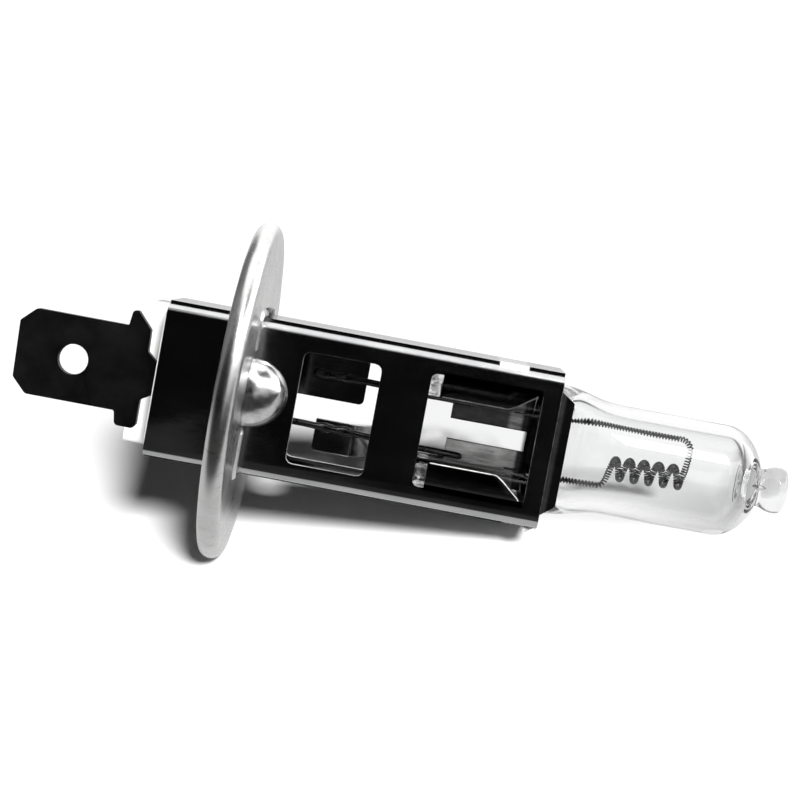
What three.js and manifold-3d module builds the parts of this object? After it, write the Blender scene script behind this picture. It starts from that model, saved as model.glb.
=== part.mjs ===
// Halogen headlight bulb, millimetres, +Z up.
// Origin: on the bulb's axis, in the flange's locating face (its glass side).
// +X runs along the axis towards the glass, +Z is the wide way of the sleeve, -Y is its front.
import * as THREE from 'three';
import { mergeVertices } from 'three/addons/utils/BufferGeometryUtils.js';
import Module from 'manifold-3d';

const wasm = await Module();
wasm.setup();

// ---------------------------------------------------------------- driving dimensions
// sleeve: two pressed channels, the back one's sides lap over the outside of the front one's
const SLEEVE_X0 = -6.6;        // rear end
const SLEEVE_X1 = 21.9;        // front end, without the lips
const FRONT_Z = [-5.2, 5.3];   // the front channel's height
const BACK_Z = [-5.57, 5.67];  // the back channel's height
const SLEEVE_D = 8.4;          // along Y
const SHEET = 0.4;             // front sheet thickness
const BACK_SHEET = 0.34;       // back sheet thickness
const BEND_R = 0.55;           // outside bend radius
const LAP_Y = -3.15;           // edge of the back channel's sides
const FRONT_LEG_Y = 3.3;       // edge of the front channel's sides, inside the back channel
const TAB_X0 = 17.1, TAB_X1 = 19.4, TAB_REACH = 0.22;   // short tab on the lapped edge
const LIP_X1 = 22.95;          // lip end
// window 1, over the wire joints
const W1 = { x0: 3.47, x1: 9.07, z0: -4.14, z1: 3.93, r: 0.5 };
const W1_BACK = { x0: 2.75, x1: 9.3, z0: -4.5, z1: 4.4, r: 0.6 };
// window 2, over the pinch
const W2 = { x0: 12.61, xs: 13.46, x1: 20.63, z: 4.06, zc: 2.39, xf0: 18.5, xf1: 20.2, zf: 3.8 };
const TONGUE_ANGLE = 48 * Math.PI / 180;

// flange
const FLANGE_R = 12.4;
const FLANGE_RIM = 1.6;        // thickness at the rolled rim
const FLANGE_WEB = 0.9;        // thickness of the flat web
const FIT = 0.05;              // fitting gap

// glass
const TUBE_R = 4.035, BORE_R = 3.125;
const TUBE_X0 = 25.8, TUBE_X1 = 34.4, DOME_X = 37.2, TIP_X = 39.4;
const PINCH_X0 = 10.9, PINCH_X1 = 21.4, PINCH_HALF_W = 4.7, PINCH_HALF_T = 1.75, PINCH_WEB_T = 1.2;

// seals and wires
const FOIL = { x0: 14.5, x1: 19.9, y0: 0.28, y1: 0.38, upper: [0.85, 3.7], lower: [-3.45, -0.6] };
const WIRE_R = 0.25;
const UPPER_WIRE = { x0: 4.1, x1: 15.8, z0: 2.3, z1: 2.25 };
const LOWER_WIRE = { x0: 2.9, x1: 15.8, z0: -1.5, z1: -1.78 };
const ROD_R = 0.1, LEG_R = 0.21, LEG_BORE = 0.14, LEG_Y = 0.14;
const UPPER_LEG_Z = 2.38, LOWER_LEG_Z = -2.04, LEG_X0 = 22.4;
const UPPER_ROD_X1 = 31.0, LOWER_ROD_X1 = 25.7;

// filament coil
const COIL = { x0: 26.84, pitch: 1.06, r: 0.675, z0: -0.5, rise: 0.055, strand: 0.29, turns: 4.5 };

// blade
const BLADE_T = 0.8, BLADE_W = 6.3, BLADE_X0 = -17.5, BLADE_Y1 = 0.25;
const BLADE_Z = 0.05;          // the blade sits a little above the axis
const HOLE_R = 1.12, HOLE_X = -13.25;

// ---------------------------------------------------------------- helpers
const cyclic = new THREE.Matrix4().set(0, 0, 1, 0, 1, 0, 0, 0, 0, 1, 0, 0, 0, 0, 0, 1);

// a closed three.js geometry as a solid that can be joined and cut
function solid(geometry) {
  const g = geometry.clone();
  g.deleteAttribute('normal');
  g.deleteAttribute('uv');
  const m = mergeVertices(g, 1e-5);
  const p = m.attributes.position.array, idx = m.index.array, tri = [];
  let volume = 0;
  for (let i = 0; i < idx.length; i += 3) {
    const [a, b, c] = [idx[i], idx[i + 1], idx[i + 2]];
    if (a === b || b === c || c === a) continue;
    tri.push(a, b, c);
    volume += p[3 * a] * (p[3 * b + 1] * p[3 * c + 2] - p[3 * b + 2] * p[3 * c + 1])
      + p[3 * a + 1] * (p[3 * b + 2] * p[3 * c] - p[3 * b] * p[3 * c + 2])
      + p[3 * a + 2] * (p[3 * b] * p[3 * c + 1] - p[3 * b + 1] * p[3 * c]);
  }
  if (volume < 0) for (let i = 0; i < tri.length; i += 3) [tri[i], tri[i + 1]] = [tri[i + 1], tri[i]];
  return new wasm.Manifold(new wasm.Mesh({
    numProp: 3, vertProperties: new Float32Array(p), triVerts: new Uint32Array(tri),
  }));
}

const group = new THREE.Group();
function node(name, body, material) {
  const mesh = body.getMesh();
  const g = new THREE.BufferGeometry();
  g.setAttribute('position', new THREE.BufferAttribute(new Float32Array(mesh.vertProperties), 3));
  g.setIndex(new THREE.BufferAttribute(new Uint32Array(mesh.triVerts), 1));
  g.computeVertexNormals();
  const m = new THREE.Mesh(g, material);
  m.name = name;
  group.add(m);
  return m;
}

// polygon with rounded corners: points are [x, y] or [x, y, radius]
function outline(points, steps = 3) {
  const out = [], n = points.length;
  for (let i = 0; i < n; i++) {
    const p = new THREE.Vector2(points[i][0], points[i][1]);
    const r = points[i][2] || 0;
    if (!r) { out.push(p); continue; }
    const a = new THREE.Vector2(...points[(i + n - 1) % n].slice(0, 2)).sub(p).normalize();
    const b = new THREE.Vector2(...points[(i + 1) % n].slice(0, 2)).sub(p).normalize();
    const half = Math.acos(THREE.MathUtils.clamp(a.dot(b), -1, 1)) / 2;
    const centre = p.clone().add(a.clone().add(b).normalize().multiplyScalar(r / Math.sin(half)));
    const t = r / Math.tan(half);
    const s = p.clone().addScaledVector(a, t).sub(centre), e = p.clone().addScaledVector(b, t).sub(centre);
    const a0 = Math.atan2(s.y, s.x);
    let turn = Math.atan2(e.y, e.x) - a0;
    while (turn > Math.PI) turn -= 2 * Math.PI;
    while (turn < -Math.PI) turn += 2 * Math.PI;
    for (let k = 0; k <= steps; k++) {
      const t2 = a0 + turn * k / steps;
      out.push(new THREE.Vector2(centre.x + r * Math.cos(t2), centre.y + r * Math.sin(t2)));
    }
  }
  return out;
}
function shapeOf(points, holes = [], steps = 3) {
  const s = new THREE.Shape(outline(points, steps));
  for (const h of holes) s.holes.push(new THREE.Path(h));
  return s;
}
const flat = (shape, depth) => new THREE.ExtrudeGeometry(shape, { depth, bevelEnabled: false, steps: 1 });
// section in (Y, Z), run along X
const alongX = (shape, x0, x1) => solid(flat(shape, x1 - x0).applyMatrix4(cyclic).translate(x0, 0, 0));
// outline in (X, Z), with its thickness along Y
const alongY = (shape, y0, y1) => solid(flat(shape, y1 - y0).rotateX(Math.PI / 2).translate(0, y1, 0));
// outline in (X, Y), with its height along Z
const alongZ = (shape, z0, z1) => solid(flat(shape, z1 - z0).translate(0, 0, z0));
const box = (x0, x1, y0, y1, z0, z1) => solid(new THREE.BoxGeometry(x1 - x0, y1 - y0, z1 - z0)
  .translate((x0 + x1) / 2, (y0 + y1) / 2, (z0 + z1) / 2));
function circle(x, y, r, n) {
  return Array.from({ length: n }, (_, i) => new THREE.Vector2(
    x + r * Math.cos(2 * Math.PI * i / n), y + r * Math.sin(2 * Math.PI * i / n)));
}
// a round bar along a curve
function bar(points, r, sides, steps, curve = new THREE.CatmullRomCurve3(points, false, 'centripetal')) {
  return solid(new THREE.ExtrudeGeometry(new THREE.Shape(circle(0, 0, r, sides)),
    { steps, bevelEnabled: false, extrudePath: curve }));
}
// a straight round bar from a to b
function rod(a, b, r, sides) {
  const d = new THREE.Vector3().subVectors(b, a), g = new THREE.CylinderGeometry(r, r, d.length(), sides, 1);
  g.applyQuaternion(new THREE.Quaternion().setFromUnitVectors(new THREE.Vector3(0, 1, 0), d.clone().normalize()));
  g.translate((a.x + b.x) / 2, (a.y + b.y) / 2, (a.z + b.z) / 2);
  return solid(g);
}
// a turned body about X; each ring [x, half width along Z, half depth along Y, squareness] is a rounded
// rectangle that goes from round (2) to nearly square (8)
function loft(rings, sides) {
  const profile = rings.map(([x, a]) => new THREE.Vector2(a === 0 ? 0 : 1, x));
  const g = new THREE.LatheGeometry(profile, sides);
  const p = g.attributes.position;
  for (let i = 0; i < p.count; i++) {
    const ring = rings[i % rings.length];
    const [x, a, b, n] = ring;
    if (a === 0) { p.setXYZ(i, x, 0, 0); continue; }
    const t = Math.floor(i / rings.length) % sides * 2 * Math.PI / sides;
    const c = Math.cos(t), s = Math.sin(t);
    const k = 1 / Math.pow(Math.pow(Math.abs(c) / a, n) + Math.pow(Math.abs(s) / b, n), 1 / n);
    p.setXYZ(i, x, k * s, k * c);
  }
  return solid(g);
}
const V = (x, y, z) => new THREE.Vector3(x, y, z);
const metal = (color, roughness, metalness = 1) => new THREE.MeshStandardMaterial({ color, roughness, metalness });

// ---------------------------------------------------------------- materials
const plated = metal('#3a3b3d', 0.28);
const bladeSteel = metal('#2c2d2e', 0.5);
const nickel = metal('#b9b9b6', 0.35);
const bright = metal('#d6d6d4', 0.15);
const leadMetal = metal('#4c4c4c', 0.4);
const foilMetal = metal('#6f6f6f', 0.45);
const tungsten = metal('#3b3b3d', 0.45);
const ceramic = new THREE.MeshStandardMaterial({ color: '#eeece6', roughness: 0.7, metalness: 0 });
const quartz = new THREE.MeshStandardMaterial({
  color: '#f4f7f8', roughness: 0.03, metalness: 0, transparent: true, opacity: 0.35,
});

// ---------------------------------------------------------------- sleeve shells
const D = SLEEVE_D / 2;

// outline of window 2, slot and flared channel together, with the strips that become the tongues
function window2(z) {
  return shapeOf([[W2.x0, -z, 0.4], [W2.x1, -z, 0.35], [W2.x1, z, 0.35], [W2.x0, z, 0.4]]);
}
function shell(side) {            // side -1 is the front, +1 the back
  const s = side, front = s < 0;
  const [lo, hi] = front ? FRONT_Z : BACK_Z;
  const sheet = front ? SHEET : BACK_SHEET, edge = front ? FRONT_LEG_Y : LAP_Y;
  let body = alongX(shapeOf([
    [edge, hi], [s * D, hi, BEND_R], [s * D, lo, BEND_R], [edge, lo],
    [edge, lo + sheet], [s * (D - sheet), lo + sheet, BEND_R - sheet], [s * (D - sheet), hi - sheet, BEND_R - sheet], [edge, hi - sheet],
  ], [], 4), SLEEVE_X0, SLEEVE_X1);
  // short tabs on the lapped edges
  if (!front) {
    for (const [z0, z1] of [[hi - sheet, hi], [lo, lo + sheet]]) {
      body = body.add(box(TAB_X0, TAB_X1, edge - TAB_REACH, edge + 0.2, z0, z1));
    }
  }
  // windows through the broad side
  const y0 = front ? -D - 0.3 : D - sheet - 0.3, y1 = front ? -D + sheet + 0.3 : D + 0.3;
  const w = front ? W1 : W1_BACK;
  body = body.subtract(alongY(shapeOf([
    [w.x0, w.z0, w.r], [w.x1, w.z0, w.r], [w.x1, w.z1, w.r], [w.x0, w.z1, w.r]]), y0, y1));
  body = body.subtract(alongY(window2(W2.z), y0, y1));
  // tongues pressed inwards, towards the pinch; their outer side is what the flared channel leaves
  const reach = (W2.zf - W2.zc) / Math.cos(TONGUE_ANGLE);
  for (const z of [1, -1]) {
    const plate = flat(shapeOf([
      [W2.xs, 0.45], [W2.x1 + 0.2, 0.45], [W2.x1 + 0.2, 0.0], [W2.xf1 + 0.1, 0.0, 0.15], [W2.xf0, -reach, 0.3], [W2.xs, -reach, 0.15],
    ], [], 2), sheet);
    // plate: x along X, y up towards the hinge, thickness along z
    plate.rotateX(Math.PI / 2);                 // now (X, -thickness, Z)
    plate.translate(0, sheet, 0);               // thickness inwards (+Y) for the front
    plate.rotateX(-TONGUE_ANGLE * -1);          // free edge swings inwards (+Y)
    plate.translate(0, -D, W2.zf);
    let t = solid(plate);
    // keep only what is inside the sleeve's own thickness and below it
    t = t.subtract(box(W2.x0 - 1, W2.x1 + 1, -D - 2, -D, 0, 8));
    t = t.subtract(box(W2.x0 - 1, W2.x1 + 1, -D - 0.5, 3, W2.z + 0.3, 8));
    const m = new THREE.Matrix4().makeScale(1, s < 0 ? 1 : -1, z);
    body = body.add(solid(fromSolid(t).applyMatrix4(m)));
  }
  // cut-corner lip, turned in at the glass end
  const lip = new THREE.ExtrudeGeometry(shapeOf([
    [SLEEVE_X1 - 0.02, -4.4], [LIP_X1, -3.75, 0.15], [LIP_X1, 3.75, 0.15], [SLEEVE_X1 - 0.02, 4.4]], [], 2),
  { depth: sheet, bevelEnabled: false });
  lip.rotateX(Math.PI / 2);                     // (X, -thickness, Z)
  lip.translate(-SLEEVE_X1, sheet, 0);
  lip.rotateZ(18 * Math.PI / 180);              // end of the lip goes inwards
  lip.translate(SLEEVE_X1, -D, 0);
  body = body.add(solid(lip.applyMatrix4(new THREE.Matrix4().makeScale(1, s < 0 ? 1 : -1, 1))));
  return body;
}
function fromSolid(body) {
  const mesh = body.getMesh();
  const g = new THREE.BufferGeometry();
  g.setAttribute('position', new THREE.BufferAttribute(new Float32Array(mesh.vertProperties), 3));
  g.setIndex(new THREE.BufferAttribute(new Uint32Array(mesh.triVerts), 1));
  return g;
}
const frontShell = shell(-1);
let backShell = shell(1);
// a small bent corner of the back channel's lower side at the glass end
backShell = backShell.add(alongY(new THREE.Shape([new THREE.Vector2(20.95, BACK_Z[0] - 0.34), new THREE.Vector2(21.2, BACK_Z[0] - 0.36),
  new THREE.Vector2(21.75, BACK_Z[0] + 0.05), new THREE.Vector2(21.75, BACK_Z[0] + 0.2), new THREE.Vector2(20.95, BACK_Z[0] + 0.2)]), LAP_Y, LAP_Y + 0.45));
node('front_shell', frontShell, plated);
node('back_shell', backShell, plated);

// ---------------------------------------------------------------- flange
{
  const R = FLANGE_R, T = FLANGE_RIM, w = FLANGE_WEB;
  // turned profile (radius, x): flat locating face, rolled rim, recessed rear
  const rim = [];
  for (let k = 0; k <= 6; k++) {
    const a = Math.PI / 2 - Math.PI * k / 6;
    rim.push(new THREE.Vector2(R - T / 2 + T / 2 * Math.cos(a), -T / 2 + T / 2 * Math.sin(a)));
  }
  const profile = [new THREE.Vector2(0, 0), ...rim, new THREE.Vector2(R - 1.35, -T + 0.15), new THREE.Vector2(R - 1.75, -w),
    new THREE.Vector2(0, -w)];
  let ring = solid(new THREE.LatheGeometry(profile, 72).rotateZ(-Math.PI / 2));
  // opening for the sleeve
  const [zl, zh] = BACK_Z;
  const hole = [[-D - FIT, zl - FIT, 0.5], [D + FIT, zl - FIT, 0.5], [D + FIT, zh + FIT, 0.5], [-D - FIT, zh + FIT, 0.5]];
  ring = ring.subtract(alongX(shapeOf(hole), -3, 3));
  // low collar round the sleeve on the glass side
  const outer = shapeOf([[-D - 0.5, zl - 0.3, 0.8], [D + 0.5, zl - 0.3, 0.8], [D + 0.5, zh + 0.3, 0.8], [-D - 0.5, zh + 0.3, 0.8]]);
  outer.holes.push(new THREE.Path(outline(hole)));
  ring = ring.add(alongX(outer, -0.3, 0.26));
  // lug above the sleeve
  ring = ring.add(box(-0.3, 0.5, -1.2, 1.2, zh + FIT, zh + 0.65));
  node('flange_ring', ring, nickel);
}

// ---------------------------------------------------------------- weld beads between flange and sleeve
function bead(side) {
  const sphere = new THREE.SphereGeometry(1, 28, 14);
  sphere.scale(2.55, 2.05, 2.62);
  sphere.translate(0.12, side * (D + 0.12), 0.35);
  let b = solid(sphere);
  b = b.subtract(box(-5, 5, -D - FIT, D + FIT, -5, 6));
  b = b.subtract(box(-5, 0.26 + 0.02, -8, 8, -6, 7));
  return b;
}
node('front_weld_bead', bead(-1), bright);
node('back_weld_bead', bead(1), bright);

// ---------------------------------------------------------------- blade
{
  const w = BLADE_W / 2;
  const hole = circle(HOLE_X, 0, HOLE_R, 24).reverse();
  const s = shapeOf([
    [BLADE_X0 + 0.12, -2.05, 0.3], [BLADE_X0 + 1.2, -w, 0.4], [-9.68, -w, 0.15], [-9.5, -4.2, 0.3], [-8.15, -4.22, 0.3],
    [-7.95, -3.9, 0.15], [-7.95, -2.05, 0.2], [-7.2, -1.6], [-3.2, -1.6], [-3.2, 0.84], [-7.2, 0.84], [-7.95, 1.5, 0.2], [-8.0, 3.1, 0.2],
    [-9.1, 4.3, 0.15], [-9.5, 4.3, 0.25], [-9.65, w, 0.1], [BLADE_X0 + 1.1, w, 0.4], [BLADE_X0, 2.1, 0.3],
  ].map(([x, z, r]) => [x, z + BLADE_Z, r]), [hole]);
  let blade = alongY(s, BLADE_Y1 - BLADE_T, BLADE_Y1);
  blade = blade.subtract(alongY(new THREE.Shape(circle(-4.3, -0.38, 0.42, 12)), -2, 2));
  node('terminal_blade', blade, bladeSteel);
}

// contact strip: riveted to the blade's tail inside the insulator, then up to the upper wire
{
  let strip = alongY(shapeOf([
    [-5.3, -1.4, 0.2], [-0.6, -1.4, 0.2], [1.9, 0.52, 0.3], [8.07, 0.52, 0.35], [8.07, 3.92, 0.35], [1.2, 3.92, 0.3], [-1.6, 0.65, 0.3], [-5.3, 0.65, 0.2],
  ], [], 3), 0.3, 0.7);
  strip = strip.subtract(alongY(new THREE.Shape(circle(-4.3, -0.38, 0.42, 12)), -2, 2));
  node('contact_strip', strip, leadMetal);
}
// rivet: shank with a head each side
{
  const r = 0.36, h = 0.72;
  const p = [[0, -1.05], [0.5, -1.02], [h, -0.8], [h, -0.6], [r, -0.6], [r, 0.75], [h, 0.75], [h, 0.95], [0.5, 1.15], [0, 1.18]]
    .map(([x, y]) => new THREE.Vector2(x, y));
  node('blade_rivet', solid(new THREE.LatheGeometry(p, 16).translate(-4.3, 0, -0.38)), nickel);
}

// ---------------------------------------------------------------- insulator
{
  const zl = FRONT_Z[0] + SHEET + FIT, zh = FRONT_Z[1] - SHEET - FIT, y = D - SHEET - FIT;
  let block = alongX(shapeOf([[-y, zl, 0.5], [y, zl, 0.5], [y, zh, 0.5], [-y, zh, 0.5]]), -6.75, -1.8);
  // ledge outside the sleeve's rear end, behind the blade
  block = block.add(alongX(shapeOf([[0.35, -5.3, 0.5], [y + 0.1, -5.3, 0.8], [y + 0.1, 5.3, 0.8], [0.35, 5.3, 0.5]]), -8.85, SLEEVE_X0 - FIT));
  // rounded rear corners of the ledge
  block = block.subtract(alongY(new THREE.Shape([
    new THREE.Vector2(-9.2, 4.5), new THREE.Vector2(-8.85, 4.5), new THREE.Vector2(-8.7, 4.85), new THREE.Vector2(-8.4, 5.15), new THREE.Vector2(-8.0, 5.33),
    new THREE.Vector2(-8.0, 6), new THREE.Vector2(-9.2, 6)]), -1, 6));
  // slot for the blade's tail, the strip and the rivet, open at both ends
  block = block.subtract(box(-9.2, 0, -1.15, 0.78, -1.68, 0.92));
  block = block.subtract(box(-5.2, 0, -1.15, 1.3, -1.68, 0.92));
  // the strip climbs out of the block's front face
  block = block.subtract(box(-2.6, 0, 0.22, 0.78, -1.68, 2.2));
  node('insulator', block, ceramic);
}

// ---------------------------------------------------------------- earth strap
{
  const y = D - BACK_SHEET - FIT;
  // side view (X, Y): plate under the wire, slope, foot against the back shell
  const s = shapeOf([
    [4.9, 0.3], [7.75, 0.3, 0.2], [9.75, y - 0.4, 0.2], [11.7, y - 0.4], [11.7, y], [9.5, y, 0.3], [7.5, 0.7, 0.3], [4.9, 0.7],
  ], [], 3);
  let strap = alongZ(s, -3.4, -1.0);
  strap = strap.subtract(alongY(shapeOf([[4.8, -3.5], [5.15, -3.5], [4.8, -3.15]]), 0, 1));
  node('earth_strap', strap, leadMetal);
}

// ---------------------------------------------------------------- lead wires, with their weld nuggets
function leadWire(w, welds) {
  let b = rod(V(w.x0, 0, w.z0), V(w.x1, 0, w.z1), WIRE_R, 12);
  for (const x of welds) {
    const z = w.z0 + (w.z1 - w.z0) * (x - w.x0) / (w.x1 - w.x0);
    const s = new THREE.SphereGeometry(1, 12, 8);
    s.scale(0.42, 0.3, 0.42);
    s.translate(x, -0.02, z);
    b = b.add(solid(s).subtract(box(-5, 20, 0.275, 2, -6, 6)));
  }
  return b;
}
node('upper_lead_wire', leadWire(UPPER_WIRE, [4.85, 6.6]), leadMetal);
node('lower_lead_wire', leadWire(LOWER_WIRE, [5.6, 7.0]), leadMetal);

// ---------------------------------------------------------------- foils and inner rods
const foil = ([z0, z1]) => alongY(shapeOf([[FOIL.x0, z0], [FOIL.x1, z0], [FOIL.x1, z1], [FOIL.x0, z1]]), FOIL.y0, FOIL.y1);
node('upper_foil', foil(FOIL.upper), foilMetal);
node('lower_foil', foil(FOIL.lower), foilMetal);
const ROD_X0 = 19.0;
node('upper_inner_lead', rod(V(ROD_X0, LEG_Y, UPPER_LEG_Z), V(UPPER_ROD_X1, LEG_Y, UPPER_LEG_Z), ROD_R, 8), leadMetal);
node('lower_inner_lead', rod(V(ROD_X0, LEG_Y, LOWER_LEG_Z), V(LOWER_ROD_X1, LEG_Y, LOWER_LEG_Z), ROD_R, 8), leadMetal);

// ---------------------------------------------------------------- filament
{
  const c = COIL, z = (x) => c.z0 + c.rise * (x - 29);
  const at = (turn) => {
    const x = c.x0 + c.pitch * turn, a = 2 * Math.PI * turn;
    return V(x, -c.r * Math.sin(a), z(x) + c.r * Math.cos(a));
  };
  const pts = [];
  // up from the lower leg, round the back, into the first turn
  pts.push(V(25.9, LEG_Y, LOWER_LEG_Z), V(26.25, 0.2, LOWER_LEG_Z + 0.28), V(26.42, 0.42, -1.25));
  for (let t = -0.25; t <= c.turns + 0.251; t += 1 / 12) pts.push(at(t));
  // up from the last turn to the upper leg
  const last = pts[pts.length - 1];
  pts.push(V(last.x + 0.12, 0.45, last.z + 0.75), V(last.x + 0.18, 0.2, UPPER_LEG_Z - 0.75),
    V(last.x - 0.02, LEG_Y, UPPER_LEG_Z - 0.28), V(last.x - 0.42, LEG_Y, UPPER_LEG_Z));
  let f = bar(pts, c.strand, 8, 104);
  const upEnd = last.x - 0.42;
  const leg = (x0, x1, lz) => rod(V(x0, LEG_Y, lz), V(x1, LEG_Y, lz), LEG_R, 10);
  f = f.add(leg(LEG_X0, upEnd + 0.15, UPPER_LEG_Z)).add(leg(LEG_X0, 26.0, LOWER_LEG_Z));
  f = f.subtract(rod(V(LEG_X0 - 1, LEG_Y, UPPER_LEG_Z), V(UPPER_ROD_X1 + 0.08, LEG_Y, UPPER_LEG_Z), LEG_BORE, 8));
  f = f.subtract(rod(V(LEG_X0 - 1, LEG_Y, LOWER_LEG_Z), V(LOWER_ROD_X1 + 0.08, LEG_Y, LOWER_LEG_Z), LEG_BORE, 8));
  node('filament', f, tungsten);
}

// ---------------------------------------------------------------- glass
{
  // outside: pinch shoulder, tube, dome, exhaust tip
  const R = TUBE_R;
  const outside = [
    [20.6, 0, 0, 2], [20.6, 4.55, 1.6, 6], [21.4, 4.68, 1.95, 5], [22.2, 4.68, 2.5, 3.6], [23.0, 4.62, 3.1, 2.8],
    [23.9, 4.42, 3.65, 2.3], [24.9, 4.16, 3.95, 2.1], [TUBE_X0, R, R, 2], [TUBE_X1, R, R, 2],
  ];
  // dome: quarter ellipse from the tube to the tip's neck
  for (let k = 1; k <= 7; k++) {
    const a = Math.PI / 2 * k / 8;
    const r = R * Math.cos(a), x = TUBE_X1 + (DOME_X - TUBE_X1 + 0.25) * Math.sin(a);
    if (r > 1.5) outside.push([x, r, r, 2]);
  }
  for (const [x, r] of [[37.05, 1.42], [37.5, 1.26], [37.85, 1.4], [38.2, 1.62], [38.7, 1.68], [39.05, 1.5], [39.3, 0.95], [TIP_X, 0]]) outside.push([x, r, r, 2]);
  let glass = loft(outside, 40);
  // pinch: flat, with a thinner middle between two ridges
  const w = PINCH_HALF_W, t = PINCH_HALF_T, m = PINCH_WEB_T;
  glass = glass.add(alongX(shapeOf([
    [-t, -w, 0.7], [t, -w, 0.7], [t, -2.75, 0.2], [m, -2.15, 0.2], [m, 2.15, 0.2], [t, 2.75, 0.2], [t, w, 0.7], [-t, w, 0.7],
    [-t, 2.75, 0.2], [-m, 2.15, 0.2], [-m, -2.15, 0.2], [-t, -2.75, 0.2],
  ], [], 3), PINCH_X0, PINCH_X1));
  // inside
  const B = BORE_R;
  const inside = [
    [21.75, 0, 0, 2], [21.75, 2.7, 0.45, 4], [22.4, 3.3, 1.05, 3], [23.2, 3.55, 1.8, 2.5], [24.2, 3.4, 2.6, 2.1], [25.3, B + 0.06, B - 0.06, 2],
    [26.2, B, B, 2], [TUBE_X1 + 0.1, B, B, 2],
  ];
  for (let k = 1; k <= 6; k++) {
    const a = Math.PI / 2 * k / 6;
    const r = k === 6 ? 0 : B * Math.cos(a);
    inside.push([TUBE_X1 + 0.1 + 1.65 * Math.sin(a), r, r, 2]);
  }
  glass = glass.subtract(loft(inside, 32));
  // the exhaust passage runs a little way into the tip
  glass = glass.subtract(solid(new THREE.CylinderGeometry(0.16, 0.3, 1.9, 10).rotateZ(-Math.PI / 2).translate(36.8, 0, 0)));
  // seats of the foils, the outer wires and the inner rods, open at the rear end and into the bulb
  const g = 0.06;
  for (const [z0, z1] of [FOIL.upper, FOIL.lower]) {
    glass = glass.subtract(box(FOIL.x0 - g, FOIL.x1 + g, FOIL.y0 - g, FOIL.y1 + g, z0 - g, z1 + g));
  }
  for (const u of [UPPER_WIRE, LOWER_WIRE]) {
    const k = (u.z1 - u.z0) / (u.x1 - u.x0);
    glass = glass.subtract(rod(V(9.5, 0, u.z0 + k * (9.5 - u.x0)), V(u.x1 + g, 0, u.z1 + k * g), WIRE_R + g, 12));
  }
  for (const z of [UPPER_LEG_Z, LOWER_LEG_Z]) {
    glass = glass.subtract(rod(V(ROD_X0 - g, LEG_Y, z), V(22.6, LEG_Y, z), ROD_R + g, 8));
  }
  node('glass_envelope', glass, quartz);
}

export default group;
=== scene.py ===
import math

import bmesh
import bpy
import numpy as np
from mathutils import Matrix, Vector, noise


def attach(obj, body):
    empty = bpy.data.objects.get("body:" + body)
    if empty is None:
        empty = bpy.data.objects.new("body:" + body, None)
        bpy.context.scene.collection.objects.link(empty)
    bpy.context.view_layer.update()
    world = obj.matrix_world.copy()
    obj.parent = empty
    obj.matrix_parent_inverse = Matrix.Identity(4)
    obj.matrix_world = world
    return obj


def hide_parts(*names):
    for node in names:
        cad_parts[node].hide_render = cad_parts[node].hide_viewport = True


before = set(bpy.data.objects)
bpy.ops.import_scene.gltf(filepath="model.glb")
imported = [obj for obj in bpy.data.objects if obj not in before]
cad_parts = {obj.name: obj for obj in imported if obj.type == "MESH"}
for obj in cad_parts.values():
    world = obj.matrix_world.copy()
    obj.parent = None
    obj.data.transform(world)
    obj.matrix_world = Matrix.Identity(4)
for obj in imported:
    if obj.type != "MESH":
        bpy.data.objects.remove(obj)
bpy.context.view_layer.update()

MM = 0.001
scene = bpy.context.scene


# ------------------------------------------------------------------ mesh helpers (millimetres in, metres out)
def piece(name, verts, faces, material, replaces=(), smooth=True, ride="root"):
    me = bpy.data.meshes.new(name)
    me.from_pydata([tuple(float(c) * MM for c in v) for v in verts], [], [tuple(f) for f in faces])
    me.validate()
    bm = bmesh.new()
    bm.from_mesh(me)
    bmesh.ops.recalc_face_normals(bm, faces=bm.faces)
    bm.to_mesh(me)
    bm.free()
    ob = bpy.data.objects.new(name, me)
    scene.collection.objects.link(ob)
    me.materials.append(material)
    if smooth:
        for p in me.polygons:
            p.use_smooth = True
    if ride:
        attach(ob, ride)
        if replaces:
            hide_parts(*replaces)
    return ob


def rings_to_faces(count, n, closed=False, cap_start=True, cap_end=True):
    faces = []
    last = count if closed else count - 1
    for i in range(last):
        a, b = i * n, ((i + 1) % count) * n
        for k in range(n):
            k2 = (k + 1) % n
            faces.append((a + k, a + k2, b + k2, b + k))
    if not closed:
        if cap_start:
            faces.append(tuple(range(n - 1, -1, -1)))
        if cap_end:
            faces.append(tuple((count - 1) * n + k for k in range(n)))
    return faces


def frames_along(P):
    """Tangents and a pair of normals carried along a path without twist."""
    P = np.asarray(P, float)
    T = np.gradient(P, axis=0)
    T /= np.linalg.norm(T, axis=1)[:, None]
    n = np.cross(T[0], [0, 0, 1.0])
    if np.linalg.norm(n) < 1e-3:
        n = np.cross(T[0], [0, 1.0, 0])
    n /= np.linalg.norm(n)
    N = [n]
    for i in range(1, len(P)):
        n = N[-1] - T[i] * np.dot(N[-1], T[i])
        n /= np.linalg.norm(n)
        N.append(n)
    N = np.array(N)
    return T, N, np.cross(T, N)


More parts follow.
